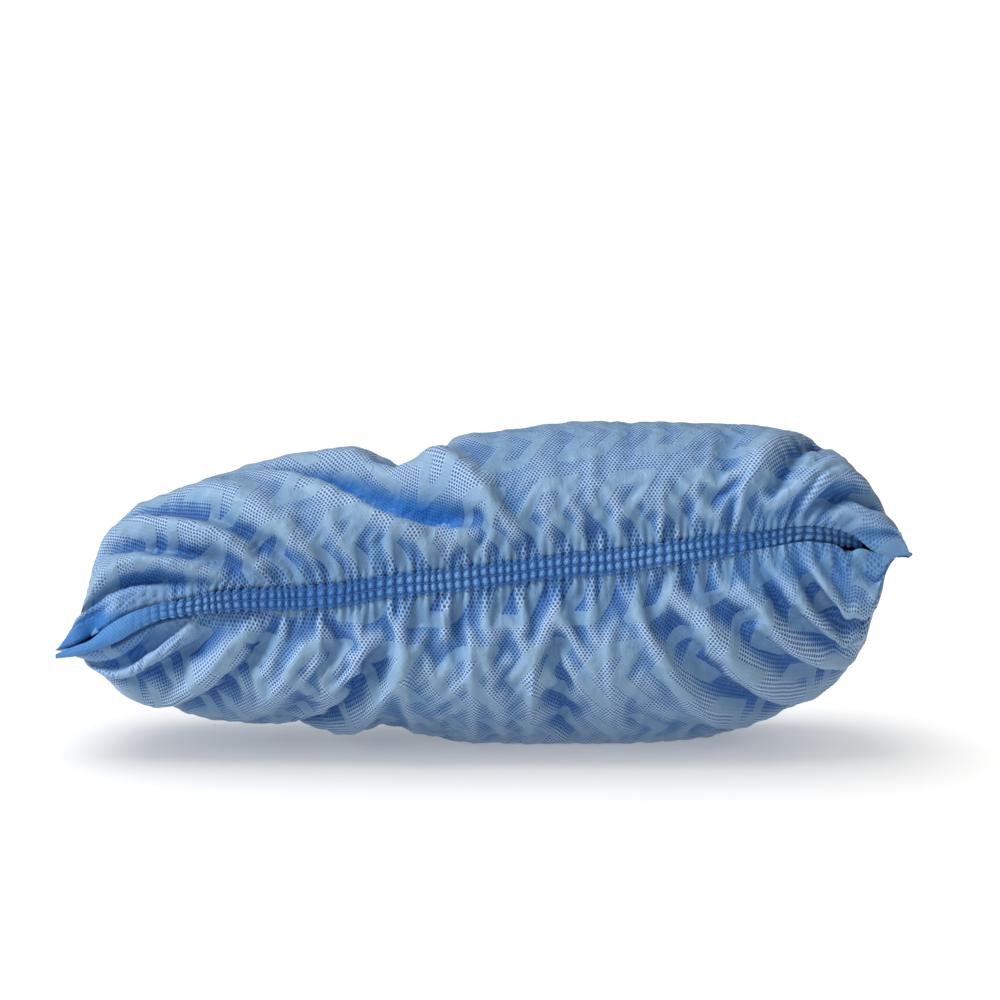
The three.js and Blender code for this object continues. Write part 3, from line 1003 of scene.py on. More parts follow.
@dataclass
class Gathers:
    """The pleats that the elastic makes, in millimetres along the hem.

    They fan out: the line of a pleat starts at its place at the hem and ends at the crown further
    out by a reach times a power of how far it lies in the end zone.
    """

    pitch: float = 3.1
    own_seed: int = 3
    # Start of the zone, its full place, the reach there and the power, for toe and heel.
    fans: dict[Lobe, tuple[tuple[float, float, float, float], ...]] = field(
        default_factory=lambda: {
            Lobe.UPPER: ((-35, -95, -220, 1.7), (60, 122, 64, 1.5)),
            Lobe.LOWER: ((-35, -101, -127, 1.5), (20, 115, 95, 1.1)),
        }
    )

    def at_hem(self, lobe: Lobe, x: np.ndarray, part: np.ndarray) -> np.ndarray:
        """Follow the fan from points of the sheet back to their place at the hem.

        Args:
            lobe: The half of the cover.
            x: Places along the length.
            part: Places between hem (0) and sole (1), shaped (1, m).

        Returns:
            Places along the hem, in the shape of x.
        """
        line = np.linspace(-175, 175, 701)
        spread = np.zeros_like(line)
        for start, full, reach, power in self.fans[lobe]:
            spread += reach * np.clip((line - start) / (full - start), 0, 1.6) ** power
        opened = np.minimum(2 * part[0], 1)
        return np.stack([np.interp(x[:, j], line + spread * w, line) for j, w in enumerate(opened)], axis=1)

    def phase(self, x: np.ndarray, pitch: float, seed: int) -> np.ndarray:
        """Give the angle of pleats of about one pitch, with uneven spacing."""
        drift = waves(x, np.zeros_like(x), 9 * pitch, seed, 5)
        return 2 * math.pi * (x / pitch + 0.3 * drift)

    def own(self, x: np.ndarray) -> np.ndarray:
        """Give the angle of the hem's own pleats."""
        return self.phase(x, self.pitch, self.own_seed)

    def ridge(self, angle: np.ndarray) -> np.ndarray:
        """Give sharp ridges with round troughs: 1 - 2 |sin(angle / 2)|^0.8."""
        return 1 - 2 * np.abs(np.sin(angle / 2)) ** 0.8

    def puff(self, angle: np.ndarray) -> np.ndarray:
        """Give round ridges with narrow troughs: 2 |cos(angle / 2)|^0.7 - 1."""
        return 2 * np.abs(np.cos(angle / 2)) ** 0.7 - 1

    def height(self, hem_x: np.ndarray, away: np.ndarray, lobe: Lobe) -> np.ndarray:
        """Work out the pleats beside the hem, which merge into wider ones further away.

        Rows of pleats of two, four and eight times the pitch each fade in and out with the
        distance from the hem.

        Args:
            hem_x: Place at the hem of the pleat line through each point.
            away: Distance from the hem.
            lobe: The half of the cover.

        Returns:
            Height over the sheet.
        """
        seed = 110 if lobe is Lobe.UPPER else 120
        bent = hem_x + 0.8 * waves(hem_x, away, 24, seed + 7) * smoothstep(away, 2, 16)
        bent = bent + 0.14 * away * waves(hem_x, away * 0.1, 70, seed + 9)
        uneven = np.clip(0.8 + 0.45 * waves(hem_x, away * 0.35, 22, seed + 1), 0.15, 1.6)
        total = np.zeros_like(hem_x)
        middle = 1 - 0.45 * smoothstep(np.abs(hem_x), 45, 85)
        # Width in pitches and the start of each row of pleats; then its depth, full place and reach.
        rows = (2.1, 0.5), (4.3, 3), (8.3, 10)
        if lobe is Lobe.UPPER:
            sizes = (1.25, 5, 10), (1.5 * middle, 10, 19), (1.0 * middle, 26, 45)
        else:
            sizes = (1.25, 5, 11), (2.0 * middle, 11, 28), (2.4 * middle, 26, 70)
        longer = 1 + 1.3 * smoothstep(np.abs(hem_x), 62, 100)
        for (widen, start), (depth, full, reach) in zip(rows, sizes):
            fade = smoothstep(away, start, full) * np.exp(-((away / (reach * longer)) ** 2))
            ridge = self.ridge(self.phase(bent, widen * self.pitch, seed + int(widen)))
            total += depth * fade * ridge * uneven
        return total

    def fine(self, hem_x: np.ndarray, away: np.ndarray) -> np.ndarray:
        """Work out the finest pleats, which are the hem's own and die out beside it."""
        return 0.85 * np.exp(-((away / 7) ** 2)) * self.puff(self.own(hem_x))


@dataclass
class CoverSheet:
    """The printed sheet of the cover: one closed wall, fine on its outer side and coarse on its inner side.
    """

    form: CoverForm
    name: str = "cover_sheet"
    relax_columns: int = 380
    relax_half: int = 90
    fine_columns: int = 512
    half_rows: int = 84
    coarse: int = 4
    map_rounds: int = 500
    wall: float = 0.8
    # Most extra cloth along the upper and the lower lobe, as a share.
    slack_upper: float = 0.11
    slack_lower: float = 0.13
    # What the inner side reads as Hollow and Inside: its painted shade and its painted light through the
    # cloth.
    inner_painted_shade: float = 0.55
    inner_painted_translucence: float = 0.7
    # Columns of the grid, evenly spaced at the crown, crowd into the gathered part of the hem.
    crowding: Table = field(
        default_factory=lambda: columns(
            "even hem",
            [
                (-1, -1),
                (-0.94, -0.86),
                (-0.86, -0.72),
                (-0.4, -0.31),
                (0.4, 0.37),
                (0.9, 0.83),
                (0.96, 0.93),
                (1, 1),
            ],
        )
    )

    def parts(self, count: int) -> np.ndarray:
        """Space rows over a half, 0 to 1, closer together near the hem."""
        even = np.linspace(0, 1, count + 1)
        return 0.5 * even + 0.5 * even**2

    def grid(self, count: int, part: np.ndarray) -> tuple[np.ndarray, np.ndarray]:
        """Lay out the grid lines of one half.

        Args:
            count: Number of columns.
            part: Places between hem and sole.

        Returns:
            The places between the seams (-1 to 1) and between hem and sole, on the grid.
        """
        even, grid_part = np.meshgrid(np.linspace(-1, 1, count + 1), part, indexing="ij")
        at_hem = read_table(self.crowding, "even", "hem", even)
        return mix(at_hem, even, smoothstep(grid_part, 0, 0.45)), grid_part

    def shape(self, count: int, part: np.ndarray, folded: bool) -> np.ndarray:
        """Work out the whole sheet on a grid, upper half first.

        Args:
            count: Number of columns.
            part: Places between hem and sole of one half.
            folded: Add the main folds.

        Returns:
            Points of shape (count + 1, 2 len(part) - 1, 3), in millimetres.
        """
        halves = []
        along, grid_part = self.grid(count, part)
        for lobe in (Lobe.UPPER, Lobe.LOWER):
            points = self.form.arch(lobe, along, grid_part)
            if folded:
                points = self.fold(points, along, grid_part, lobe)
            points[..., 2] = np.maximum(points[..., 2], 0)
            halves.append(points)
        return np.concatenate([halves[0], halves[1][:, -2::-1]], axis=1)

    def fold(self, points: np.ndarray, along: np.ndarray, part: np.ndarray, lobe: Lobe) -> np.ndarray:
        """Push the main folds of a lobe in, towards the middle of its section.

        Args:
            points: Points of the lobe.
            along: Places between the seams (-1 to 1).
            part: Places between hem (0) and sole (1).
            lobe: The half of the cover.

        Returns:
            The folded points.
        """
        x = points[..., 0]
        depth = sum(f.depth_at(x, part) for f in cover_folds() if f.lobe is lobe)
        depth = depth * np.clip(1.15 * (1 - np.abs(along) ** 12), 0, 1)
        centre = (self.form.column("valley", x) + self.form.column("back", x)) / 2
        height = points[..., 2] - (self.form.column("band", x) + self.form.column("sole", x)) / 2
        inwards = np.stack([np.zeros_like(x), centre - points[..., 1], -height], axis=-1)
        inwards /= np.linalg.norm(inwards, axis=2, keepdims=True) + 1e-9
        return points + inwards * depth[..., None]

    def pleats(self, part: np.ndarray, target: np.ndarray) -> tuple[np.ndarray, np.ndarray, np.ndarray]:
        """Work out the pleats on the whole grid, and each point's distance from its hem.

        Args:
            part: Places between hem and sole of one half.
            target: The large shape, upper half first.

        Returns:
            Heights of the wide pleats, heights of the fine ones and distances, in millimetres.
        """
        split = len(part)
        halves = []
        gathers = Gathers()
        for lobe, order in ((Lobe.UPPER, slice(0, split)), (Lobe.LOWER, slice(None, split - 2, -1))):
            half = target[:, order]
            steps = np.linalg.norm(np.diff(half, axis=1), axis=2)
            away = np.concatenate([np.zeros((len(half), 1)), np.cumsum(steps, axis=1)], axis=1)
            hem_x = gathers.at_hem(lobe, half[..., 0], part[None, :])
            gathered = self.form.hem("gather", np.clip(hem_x, -self.form.hem_reach, 130))
            gathered = gathered * (1 - smoothstep(hem_x, 134, 147))
            wide, fine = gathers.height(hem_x, away, lobe), gathers.fine(hem_x, away)
            halves.append((wide * gathered, fine * gathered, away))
        wide, fine, away = (np.concatenate([u, v[:, -2::-1]], axis=1) for u, v in zip(*halves))
        rim = 1 - np.abs(np.linspace(-1, 1, len(target))[:, None]) ** 60
        return wide * rim, fine * rim, away

    def relaxed(self) -> tuple[np.ndarray, np.ndarray]:
        """Make the sheet with its main folds and wide pleats and let it wrinkle.

        Returns:
            The points, and the places of the grid's rows in one half.
        """
        part = self.parts(self.relax_half)
        start = self.shape(self.relax_columns, part, folded=True)
        target = self.shape(self.relax_columns, part, folded=False)
        wide, _, away = self.pleats(part, target)
        x = target[..., 0]
        side = np.where(np.arange(x.shape[1]) < len(part), 0, 400)
        seeds = 0.5 * waves(x + side, away * 0.25, 14, 31) + 0.3 * waves(x + side, away * 0.3, 7, 32)
        seeds = seeds * smoothstep(away, 3, 14)
        start = start + grid_normals(start) * (wide + 0.4 * seeds)[..., None]
        middle = np.clip(1.2 - np.abs(x) / 150, 0.35, 1)
        upper = np.arange(x.shape[1]) < len(part)
        most = np.where(upper, self.slack_upper, self.slack_lower)
        rest = most * (1 - np.where(upper, 0.95, 0.7) * smoothstep(away, 8, np.where(upper, 30, 48)))
        slack = middle * smoothstep(away, 1, 8) * rest
        pull = 0.0016 + 0.02 * np.exp(-away / 4) + (1 - smoothstep(away, 0, 3)) * 0.97
        pull = pull + np.where(upper, 0.02, 0.005) * smoothstep(away, 14, 40)
        # The columns beside both end seams hold their place.
        columns_in = np.minimum(np.arange(len(x)), np.arange(len(x))[::-1])[:, None]
        pull = pull + 0.95 * np.exp(-((columns_in / 3.0) ** 2))
        return Relaxer().run(start, target, slack, np.minimum(pull, 1)), part

    def build(self) -> bpy.types.Object:
        """Build the wall: relaxed sheet, small relief, inner side, lips and seams.

        Returns:
            The mesh object, with its UV map Cloth and its values Hollow, Crest and Inside, which paint
            shade, highlights and light shining through the cloth into its colour.
        """
        coarse_grid, part = self.relaxed()
        fine_part = self.parts(self.half_rows)
        rows = np.interp(fine_part, part, np.arange(len(part)))
        rows = np.concatenate([rows, 2 * (len(part) - 1) - rows[-2::-1]])
        cols = np.linspace(0, self.relax_columns, self.fine_columns + 1)
        outer = resample(coarse_grid, cols, rows)
        target = self.shape(self.fine_columns, fine_part, folded=False)
        _, fine, away = self.pleats(fine_part, target)
        relief = fine + self.crumples(outer, target, away)
        outer = outer + grid_normals(outer) * relief[..., None]
        sew_ends(outer)
        outer[..., 2] = np.maximum(outer[..., 2], 0)
        log.info("sheet grid %d by %d, rises %.1f mm", *outer.shape[:2], outer[..., 2].max())
        depths, painted_translucence = self.depths(outer, target), self.painted_translucence(target, fine_part, away)
        return self.wall_mesh(outer, depths, painted_translucence, self.cloth_map(target, outer, fine_part))

    def crumples(self, outer: np.ndarray, target: np.ndarray, away: np.ndarray) -> np.ndarray:
        """Work out small crumples all over and long creases across the back: sums of sine waves.

        Args:
            outer: The wrinkled sheet.
            target: The large shape.
            away: Distances from the hem.

        Returns:
            Heights over the sheet, in millimetres.
        """
        side = np.where(np.arange(outer.shape[1]) <= self.half_rows, 0, 300)
        crumple = 0.16 * waves(outer[..., 0] + side, away, 5.5, 41) * smoothstep(away, 3, 14)
        x, z = target[..., 0], target[..., 2]
        creases = np.abs(waves(0.45 * (x + z), 0.9 * (z - x), 62, 43, 5))
        creases = creases + 0.4 * np.abs(waves(0.5 * (x - 0.6 * z), z + 0.6 * x, 34, 44, 6))
        return crumple - 2.6 * creases * smoothstep(target[..., 1], -5, 28)

    def painted_translucence(self, target: np.ndarray, part: np.ndarray, away: np.ndarray) -> np.ndarray:
        """Mark where the cloth loses its bond points and gets saturated blue painted as shade and as light
        shining through it: in the pocket, by the toe end of the upper lip and beside the hem's ends.

        Args:
            target: The large shape, upper half first.
            part: Places between hem and sole of one half.
            away: Distances from the hem.

        Returns:
            Values from 0 to 1.
        """
        x = target[:, : len(part)][..., 0]
        pocket = max((f for f in cover_folds() if f.lobe is Lobe.UPPER), key=lambda f: f.depth)
        deep = smoothstep(pocket.depth_at(x, np.broadcast_to(part, x.shape)) / pocket.depth, 0.4, 0.75)
        reach = 14 * np.clip((-127 - x) / 22, 0, 1)
        lip = (1 - smoothstep(away[:, : len(part)], reach - 3, reach)) * (reach > 1)
        marks = np.zeros(target.shape[:2])
        marks[:, : len(part)] = np.maximum(0.9 * deep, lip)
        ends = smoothstep(np.abs(target[..., 0] + 8), 78, 122) * (1 - smoothstep(away, 6, 30))
        return np.maximum(marks, 0.4 * ends)

    def depths(self, outer: np.ndarray, base: np.ndarray) -> np.ndarray:
        """Measure how far each point lies below (over 0) or above (under 0) its surroundings, for the
        painted shade in hollows and the painted highlight on crests.

        The surroundings are means over three sizes of window of the grid.

        Args:
            outer: The wrinkled sheet.
            base: The large shape, for its directions.

        Returns:
            Values from -1 to 1.
        """
        normal = grid_normals(base)
        total = np.zeros(outer.shape[:2])
        # Reach of the window along and across, and the depth that counts as full.
        for along, across, full in ((4, 3, 1.0), (13, 8, 2.8), (26, 14, 6.0)):
            mean = smoothed(outer, (0, along), (1, across))
            total += np.clip(np.einsum("ijk,ijk->ij", mean - outer, normal) / full, -1, 1)
        return np.clip(smoothed(total, (0, 1), (1, 1)) / 1.4, -1, 1)

    def wall_mesh(
        self, outer: np.ndarray, depths: np.ndarray, painted_translucence: np.ndarray, cloth: np.ndarray
    ) -> bpy.types.Object:
        """Join the outer grid to a coarser inner grid along the lips and sew both at the ends.

        Args:
            outer: Outer points in millimetres, shape (n, m, 3).
            depths: How far they lie below their surroundings.
            painted_translucence: Where they lose their bond points and get saturated blue painted as shade
                and as light through the cloth.
            cloth: Their place on the flat sheet, in metres.

        Returns:
            The mesh object.
        """
        n, m = outer.shape[:2]
        step = self.coarse
        inner = self.lining(outer)[::step, ::step].copy()
        inner_n, inner_m = inner.shape[:2]
        for edge, inwards in ((0, 1), (-1, -1)):
            inner[edge] = outer[edge, ::step]
            inner[edge, :, 0] += 2 * self.wall * inwards
        sew_ends(inner)
        inner[..., 2] = np.maximum(inner[..., 2], self.wall)
        outer_index = np.arange(n * m).reshape(n, m)
        inner_index = n * m + np.arange(inner_n * inner_m).reshape(inner_n, inner_m)
        for index in (outer_index, inner_index):
            half = index.shape[1] // 2
            for edge in (0, -1):
                index[edge, half + 1 :] = index[edge, half - 1 :: -1]
        a, b = outer_index, inner_index
        faces = [
            np.stack([a[:-1, :-1], a[1:, :-1], a[1:, 1:], a[:-1, 1:]], axis=-1).reshape(-1, 4),
            np.stack([b[:-1, :-1], b[:-1, 1:], b[1:, 1:], b[1:, :-1]], axis=-1).reshape(-1, 4),
        ]
        triangles = []
        for lip, turned in ((0, True), (-1, False)):
            fine, rough = outer_index[:, lip], inner_index[:, lip]
            for k in range(step):
                apex = rough[:-1] if k < step // 2 else rough[1:]
                strip = np.stack([fine[k:-1:step], fine[k + 1 :: step], apex], axis=-1)
                triangles.append(strip[:, ::-1] if turned else strip)
            strip = np.stack([fine[step // 2 : -1 : step], rough[1:], rough[:-1]], axis=-1)
            triangles.append(strip[:, ::-1] if turned else strip)
        faces.append(np.concatenate(triangles))
        points = np.concatenate([outer.reshape(-1, 3), inner.reshape(-1, 3)])
        cloth = np.concatenate([cloth.reshape(-1, 2), cloth[::step, ::step].reshape(-1, 2)])
        value = np.concatenate([depths.ravel(), np.full(inner_n * inner_m, self.inner_painted_shade)])
        used, packed = np.unique(np.concatenate([f.ravel() for f in faces]), return_inverse=True)
        sizes = np.cumsum([f.size for f in faces])[:-1]
        faces = [p.reshape(f.shape) for p, f in zip(np.split(packed, sizes), faces)]
        obj = make_object(self.name, PLACE.to_frame(points[used]), faces)
        add_uv(obj, "Cloth", cloth[used][packed])
        # Painted shade where the sheet lies below its surroundings.
        add_value(obj, "PaintedShade", np.clip(value[used], 0, 1))
        # Painted highlight where the sheet stands above its surroundings.
        add_value(obj, "PaintedHighlight", np.clip(-value[used], 0, 1))
        # Saturated blue painted as shade and as light through the cloth, in the pocket, by the toe lip, at
        # the hem's ends and on the inner side.
        value = np.concatenate([painted_translucence.ravel(), np.full(inner_n * inner_m, self.inner_painted_translucence)])
        add_value(obj, "Inside", value[used])
        return obj

    def lining(self, outer: np.ndarray) -> np.ndarray:
        """Lay the inner side a wall's thickness under the deepest wrinkle within a few grid steps.

        Args:
            outer: Outer points, shape (n, m, 3).

        Returns:
            Inner points, on the same grid.
        """
        step = self.coarse
        smooth = smoothed(outer, *((axis, step - 1) for axis in (0, 1, 0, 1)))
        smooth[:, [0, -1]] = outer[:, [0, -1]]
        normal = grid_normals(smooth)
        dent = np.maximum(np.einsum("ijk,ijk->ij", smooth - outer, normal), 0)
        dent = window_max(window_max(dent, step, 0), step, 1)
        dent[:, [0, -1]] = 0
        return smooth - normal * (self.wall + dent)[..., None]

    def cloth_map(self, target: np.ndarray, outer: np.ndarray, part: np.ndarray) -> np.ndarray:
        """Give each point its place on the flat sheet.

        The length runs out from the middle column by the distances along each row. The width runs
        in from each hem by the distances along sections square to the length, which count for more
        where a section is short; what it still lacks to the fold at the sole is made up over its
        back.

        Args:
            target: The large shape, shape (n, m, 3), upper half first.
            outer: The wrinkled sheet.
            part: Places between hem and sole of one half.

        Returns:
            Places in metres, shape (n, m, 2).
        """
        surface = smoothed(outer, (0, 7), (1, 2), (0, 7), (1, 2))
        steps = np.linalg.norm(np.diff(surface, axis=0), axis=2)
        run = np.insert(np.cumsum(steps, axis=0), 0, 0.0, axis=0)
        length = run - run[len(target) // 2] + self.form.flat_length / 2
        half_width = self.form.flat_width / 2
        line = np.linspace(-160, 160, 641)
        widths = []
        for half in (target[:, : len(part)], target[:, : len(part) - 2 : -1]):
            x = half[..., 0].T
            sections = np.stack(
                [[np.interp(line, row, y) for row, y in zip(x, half[..., k].T)] for k in (1, 2)]
            )
            run = np.cumsum(np.linalg.norm(np.diff(sections, axis=1), axis=0), axis=0)
            run = np.insert(run, 0, 0.0, axis=0)
            run *= np.minimum(half_width / run[-1], 3) ** 0.6
            run += (half_width - run[-1]) * smoothstep(part, 0.45, 1)[:, None]
            widths.append(np.stack([np.interp(row, line, v) for row, v in zip(x, run)], axis=1))
        width = np.concatenate([widths[0], 2 * half_width - widths[1][:, -2::-1]], axis=1)
        return self.even_map(surface, np.stack([length, width], axis=-1)) * MM

    def even_map(self, surface: np.ndarray, flat: np.ndarray) -> np.ndarray:
        """Take most of the stretch and shear out of a flat map.

        On a coarser grid, each round fits at every point the turn that best carries its edges to
        the flat map, and moves the point to the mean of where its neighbours, so turned, want it.
        The moves are then spread back over the fine grid.

        Args:
            surface: The sheet without its small pleats, shape (n, m, 3).
            flat: Places on the flat sheet, shape (n, m, 2).

        Returns:
            The evened places.
        """
        step = self.coarse
        points, first = surface[::step, ::step], flat[::step, ::step]
        n, m = first.shape[:2]
        ends = [((slice(1, n), slice(0, m)), (slice(0, n - 1), slice(0, m)))]
        ends.append(((slice(0, n), slice(1, m)), (slice(0, n), slice(0, m - 1))))
        ends += [(b, a) for a, b in ends]
        count = np.zeros((n, m, 1))
        for here, _ in ends:
            count[here] += 1
        places = first.copy()
        for _ in range(self.map_rounds):
            spread = np.zeros((n, m, 2, 3))
            for here, there in ends:
                reach = points[there] - points[here]
                share = 1 / (np.einsum("ijk,ijk->ij", reach, reach) + 0.01)
                spread[here] += np.einsum("ij,ijk,ijl->ijkl", share, places[there] - places[here], reach)
            square = spread @ spread.transpose(0, 1, 3, 2)
            size = np.sqrt(np.maximum(np.linalg.det(square), 1e-9))
            root = square + size[..., None, None] * np.eye(2)
            root /= np.sqrt(np.trace(square, axis1=2, axis2=3) + 2 * size)[..., None, None]
            turn = np.linalg.inv(root) @ spread
            total = np.zeros_like(places)
            for here, there in ends:
                both = (turn[here] + turn[there]) / 2
                total[here] += places[there] + np.einsum("ijkl,ijl->ijk", both, points[here] - points[there])
            places = total / count
        cols, rows = np.arange(flat.shape[0]) / step, np.arange(flat.shape[1]) / step
        return flat + resample(places - first, cols, rows)


# ---------------------------------------------------------------------------------------------
# Hems and seams
# ---------------------------------------------------------------------------------------------


def closed_strip(
    name: str, rings: np.ndarray, along: np.ndarray, across: np.ndarray, turned_over: bool = False
) -> bpy.types.Object:
    """Join rings of points into a strip that is closed at both ends, and lay its flat map.

    Args:
        name: Name of the object.
        rings: Points in millimetres, shape (steps, points of a ring, 3).
        along: Place of each ring on the flat map, in metres.
        across: Place of each point of a ring on the flat map, in metres.
        turned_over: Turn the faces round, for rings that run the other way.

    Returns:
        The mesh object.
    """
    n, m = rings.shape[:2]
    index = np.arange(n * m).reshape(n, m)
    turned = np.roll(index, -1, axis=1)
    sheath = np.stack([index[:-1], index[1:], turned[1:], turned[:-1]], axis=-1).reshape(-1, 4)
    faces = [sheath, index[:1], index[-1:, ::-1]]
    if turned_over:
        faces = [f[:, ::-1] for f in faces]
    obj = make_object(name, PLACE.to_frame(rings.reshape(-1, 3)), faces)
    flat = np.stack(np.meshgrid(along, across, indexing="ij"), axis=-1).reshape(-1, 2)
    add_uv(obj, "Cloth", flat[np.concatenate([f.ravel() for f in faces])])
    return obj


@dataclass
class GatheredHem:
    """The elastic hem in front: a ribbed strip with rows of stitches, which ends in a bare leaf."""

    form: CoverForm
    name: str = "hem_band"
    steps: int = 1500
    rows: int = 22
    thickness: float = 1.5
    first: float = -159.5
    last: float = 141.5
    stitch_rows: tuple[float, ...] = (0.1, 0.5, 0.9)
    first_stitch: float = -112.0
    bare_end: float = 6.0
    thread_radius: float = 0.17
    flat_width: float = 9.0

    def near_stitches(self, across: np.ndarray, width: float) -> np.ndarray:
        """Give 1 on the rows of stitches and less beside them: exp(-(distance / width)^2)."""
        return np.clip(sum(np.exp(-(((across - row) / width) ** 2)) for row in self.stitch_rows), 0, 1)

    def drift(self, x: np.ndarray, across: np.ndarray) -> np.ndarray:
        """Give the slow rise and fall of the lines along the band, in millimetres."""
        return 0.15 * waves(x, across * 8, 22, 61)

    def surface(self, x: np.ndarray, across: np.ndarray) -> np.ndarray:
        """Work out the front of the hem.

        Args:
            x: Places along the length.
            across: Places across the hem, from its lower edge (0) to its upper edge (1).

        Returns:
            Points of shape (len(x), len(across), 3), in millimetres.
        """
        grid_x, grid_v = np.meshgrid(x, across, indexing="ij")
        low, high = self.form.hem("low", grid_x), self.form.hem("high", grid_x)
        front, gather = self.form.hem("front", grid_x), self.form.hem("gather", grid_x)
        gathers = Gathers()
        puff = gathers.puff(gathers.own(grid_x))
        rows = self.near_stitches(grid_v, 0.085)
        relief = gather * ((0.95 - 0.35 * rows) * puff - 0.42 * rows)
        leaf = np.sin(np.clip((grid_x + 160) / 42, 0, 1) * math.pi)
        bare = (1 - gather) * 1.2 * np.sin(math.pi * grid_v) * leaf
        edge = np.abs(grid_v - 0.5) * 2
        z = mix(low, high, grid_v) + np.sign(grid_v - 0.5) * edge**4 * gather * 0.4 * puff
        z = z + self.drift(grid_x, grid_v)
        y = front - relief - bare + 0.35 * waves(grid_x, grid_v * 3, 40, 62)
        sway = 0.3 * gather * waves(grid_x, grid_v * 9, 12, 63)
        return np.stack([grid_x + sway, y, z], axis=-1)

    def build(self) -> list[bpy.types.Object]:
        """Build the hem as a closed strip, and its stitches.

        Returns:
            The strip and the stitches.
        """
        x, across = np.linspace(self.first, self.last, self.steps + 1), np.linspace(0, 1, self.rows + 1)
        front = self.surface(x, across)
        thick = np.minimum(self.thickness, 0.3 + (x - self.first) / 12)[:, None]
        back = front[:, [-1, 0]].copy()
        back[..., 1] = self.form.hem("front", x)[:, None] + thick
        ring = np.concatenate([front, back], axis=1)
        flat_across = np.concatenate([across, [1.2, -0.2]]) * self.flat_width * MM
        strip = closed_strip(self.name, ring, self.form.flat_place(x), flat_across)
        gather = self.form.hem("gather", x)[:, None]
        depth = self.form.hem("front", x)[:, None] - 0.6 - front[..., 1]
        rows = self.near_stitches(across, 0.07)
        # Painted shade: deep blue where the strip lies back and along the rows of stitches, and all over its
        # back.
        painted_shade = np.clip(0.4 - 0.7 * depth + 0.5 * rows, 0.05, 1) * gather
        painted_shade = np.concatenate([painted_shade, np.full((len(x), 2), 0.6)], axis=1)
        add_value(strip, "PaintedShade", painted_shade)
        # Painted highlight on the puffs between the rows of stitches.
        painted_highlight = smoothstep(depth, -0.3, 0.35) * (1 - rows) * 0.4 * gather
        add_value(strip, "PaintedHighlight", np.concatenate([painted_highlight, np.zeros((len(x), 2))], axis=1))
        # Saturated blue painted as shade and as light through the cloth on the hem, most on its bare leaf.
        add_value(strip, "Inside", np.broadcast_to(0.42 + 0.28 * (1 - gather), painted_shade.shape))
        return [strip, self.stitches()]

    def stitches(self) -> bpy.types.Object:
        """Build the stitches: short arcs of thread that dip into the cloth at both ends.

        Returns:
            The mesh object.
        """
        dense = np.linspace(self.first_stitch, self.last - self.bare_end, 4000)
        turns = Gathers().own(dense) / (2 * math.pi)
        troughs = np.interp(np.arange(math.ceil(turns[0]), math.floor(turns[-1])), turns, dense)
        start, stop = troughs[:-1], troughs[1:]
        u = np.linspace(0, 1, 7)
        paths = []
        for row in self.stitch_rows:
            x = mix(start[:, None], stop[:, None], 0.06 + 0.88 * u)
            low, high = self.form.hem("low", x), self.form.hem("high", x)
            front = self.form.hem("front", x)
            z = mix(low, high, row) + self.drift(x, np.full_like(x, row))
            y = front - 0.25 - 0.55 * np.sin(math.pi * u)
            paths.append(np.stack([x, y, z], axis=-1))
        points, quads = tube_batch(np.concatenate(paths), self.thread_radius)
        return make_object("hem_stitches", PLACE.to_frame(points), [quads])


@dataclass
class TurnedHem:
    """The lower hem, turned in behind the lower lip: a ribbed ledge that shows in the opening."""

    form: CoverForm
    name: str = "inner_hem"
    steps: int = 700
    first: float = -138.0
    last: float = 134.0
    width: float = 7.5
    thickness: float = 1.2
    flat_width: float = 18.0
    # Painted shade all over the ledge, which lies behind the lower lip.
    painted_shade: float = 0.7

    def build(self) -> bpy.types.Object:
        """Build the ledge as a closed ribbed strip.

        Returns:
            The mesh object.
        """
        x = np.linspace(self.first, self.last, self.steps + 1)
        gathers = Gathers()
        low, front = self.form.hem("low", x), self.form.hem("front", x)
        ridge = gathers.puff(gathers.own(x)) * self.form.hem("gather", x)
        across = np.linspace(0, 1, 9)
        y = (front + 2.6)[:, None] + self.width * across
        z = (low - 0.9)[:, None] + 0.5 * ridge[:, None] * (0.4 + across) - 2.0 * across**2
        top = np.stack([np.broadcast_to(x[:, None], y.shape), y, z], axis=-1)
        under = top[:, ::-1].copy()
        under[..., 2] -= self.thickness
        ring = np.concatenate([top, under], axis=1)
        flat_across = np.linspace(0, self.flat_width, ring.shape[1]) * MM
        obj = closed_strip(self.name, ring, self.form.flat_place(x), flat_across)
        add_value(obj, "PaintedShade", np.full(ring.shape[:2], self.painted_shade))
        return obj


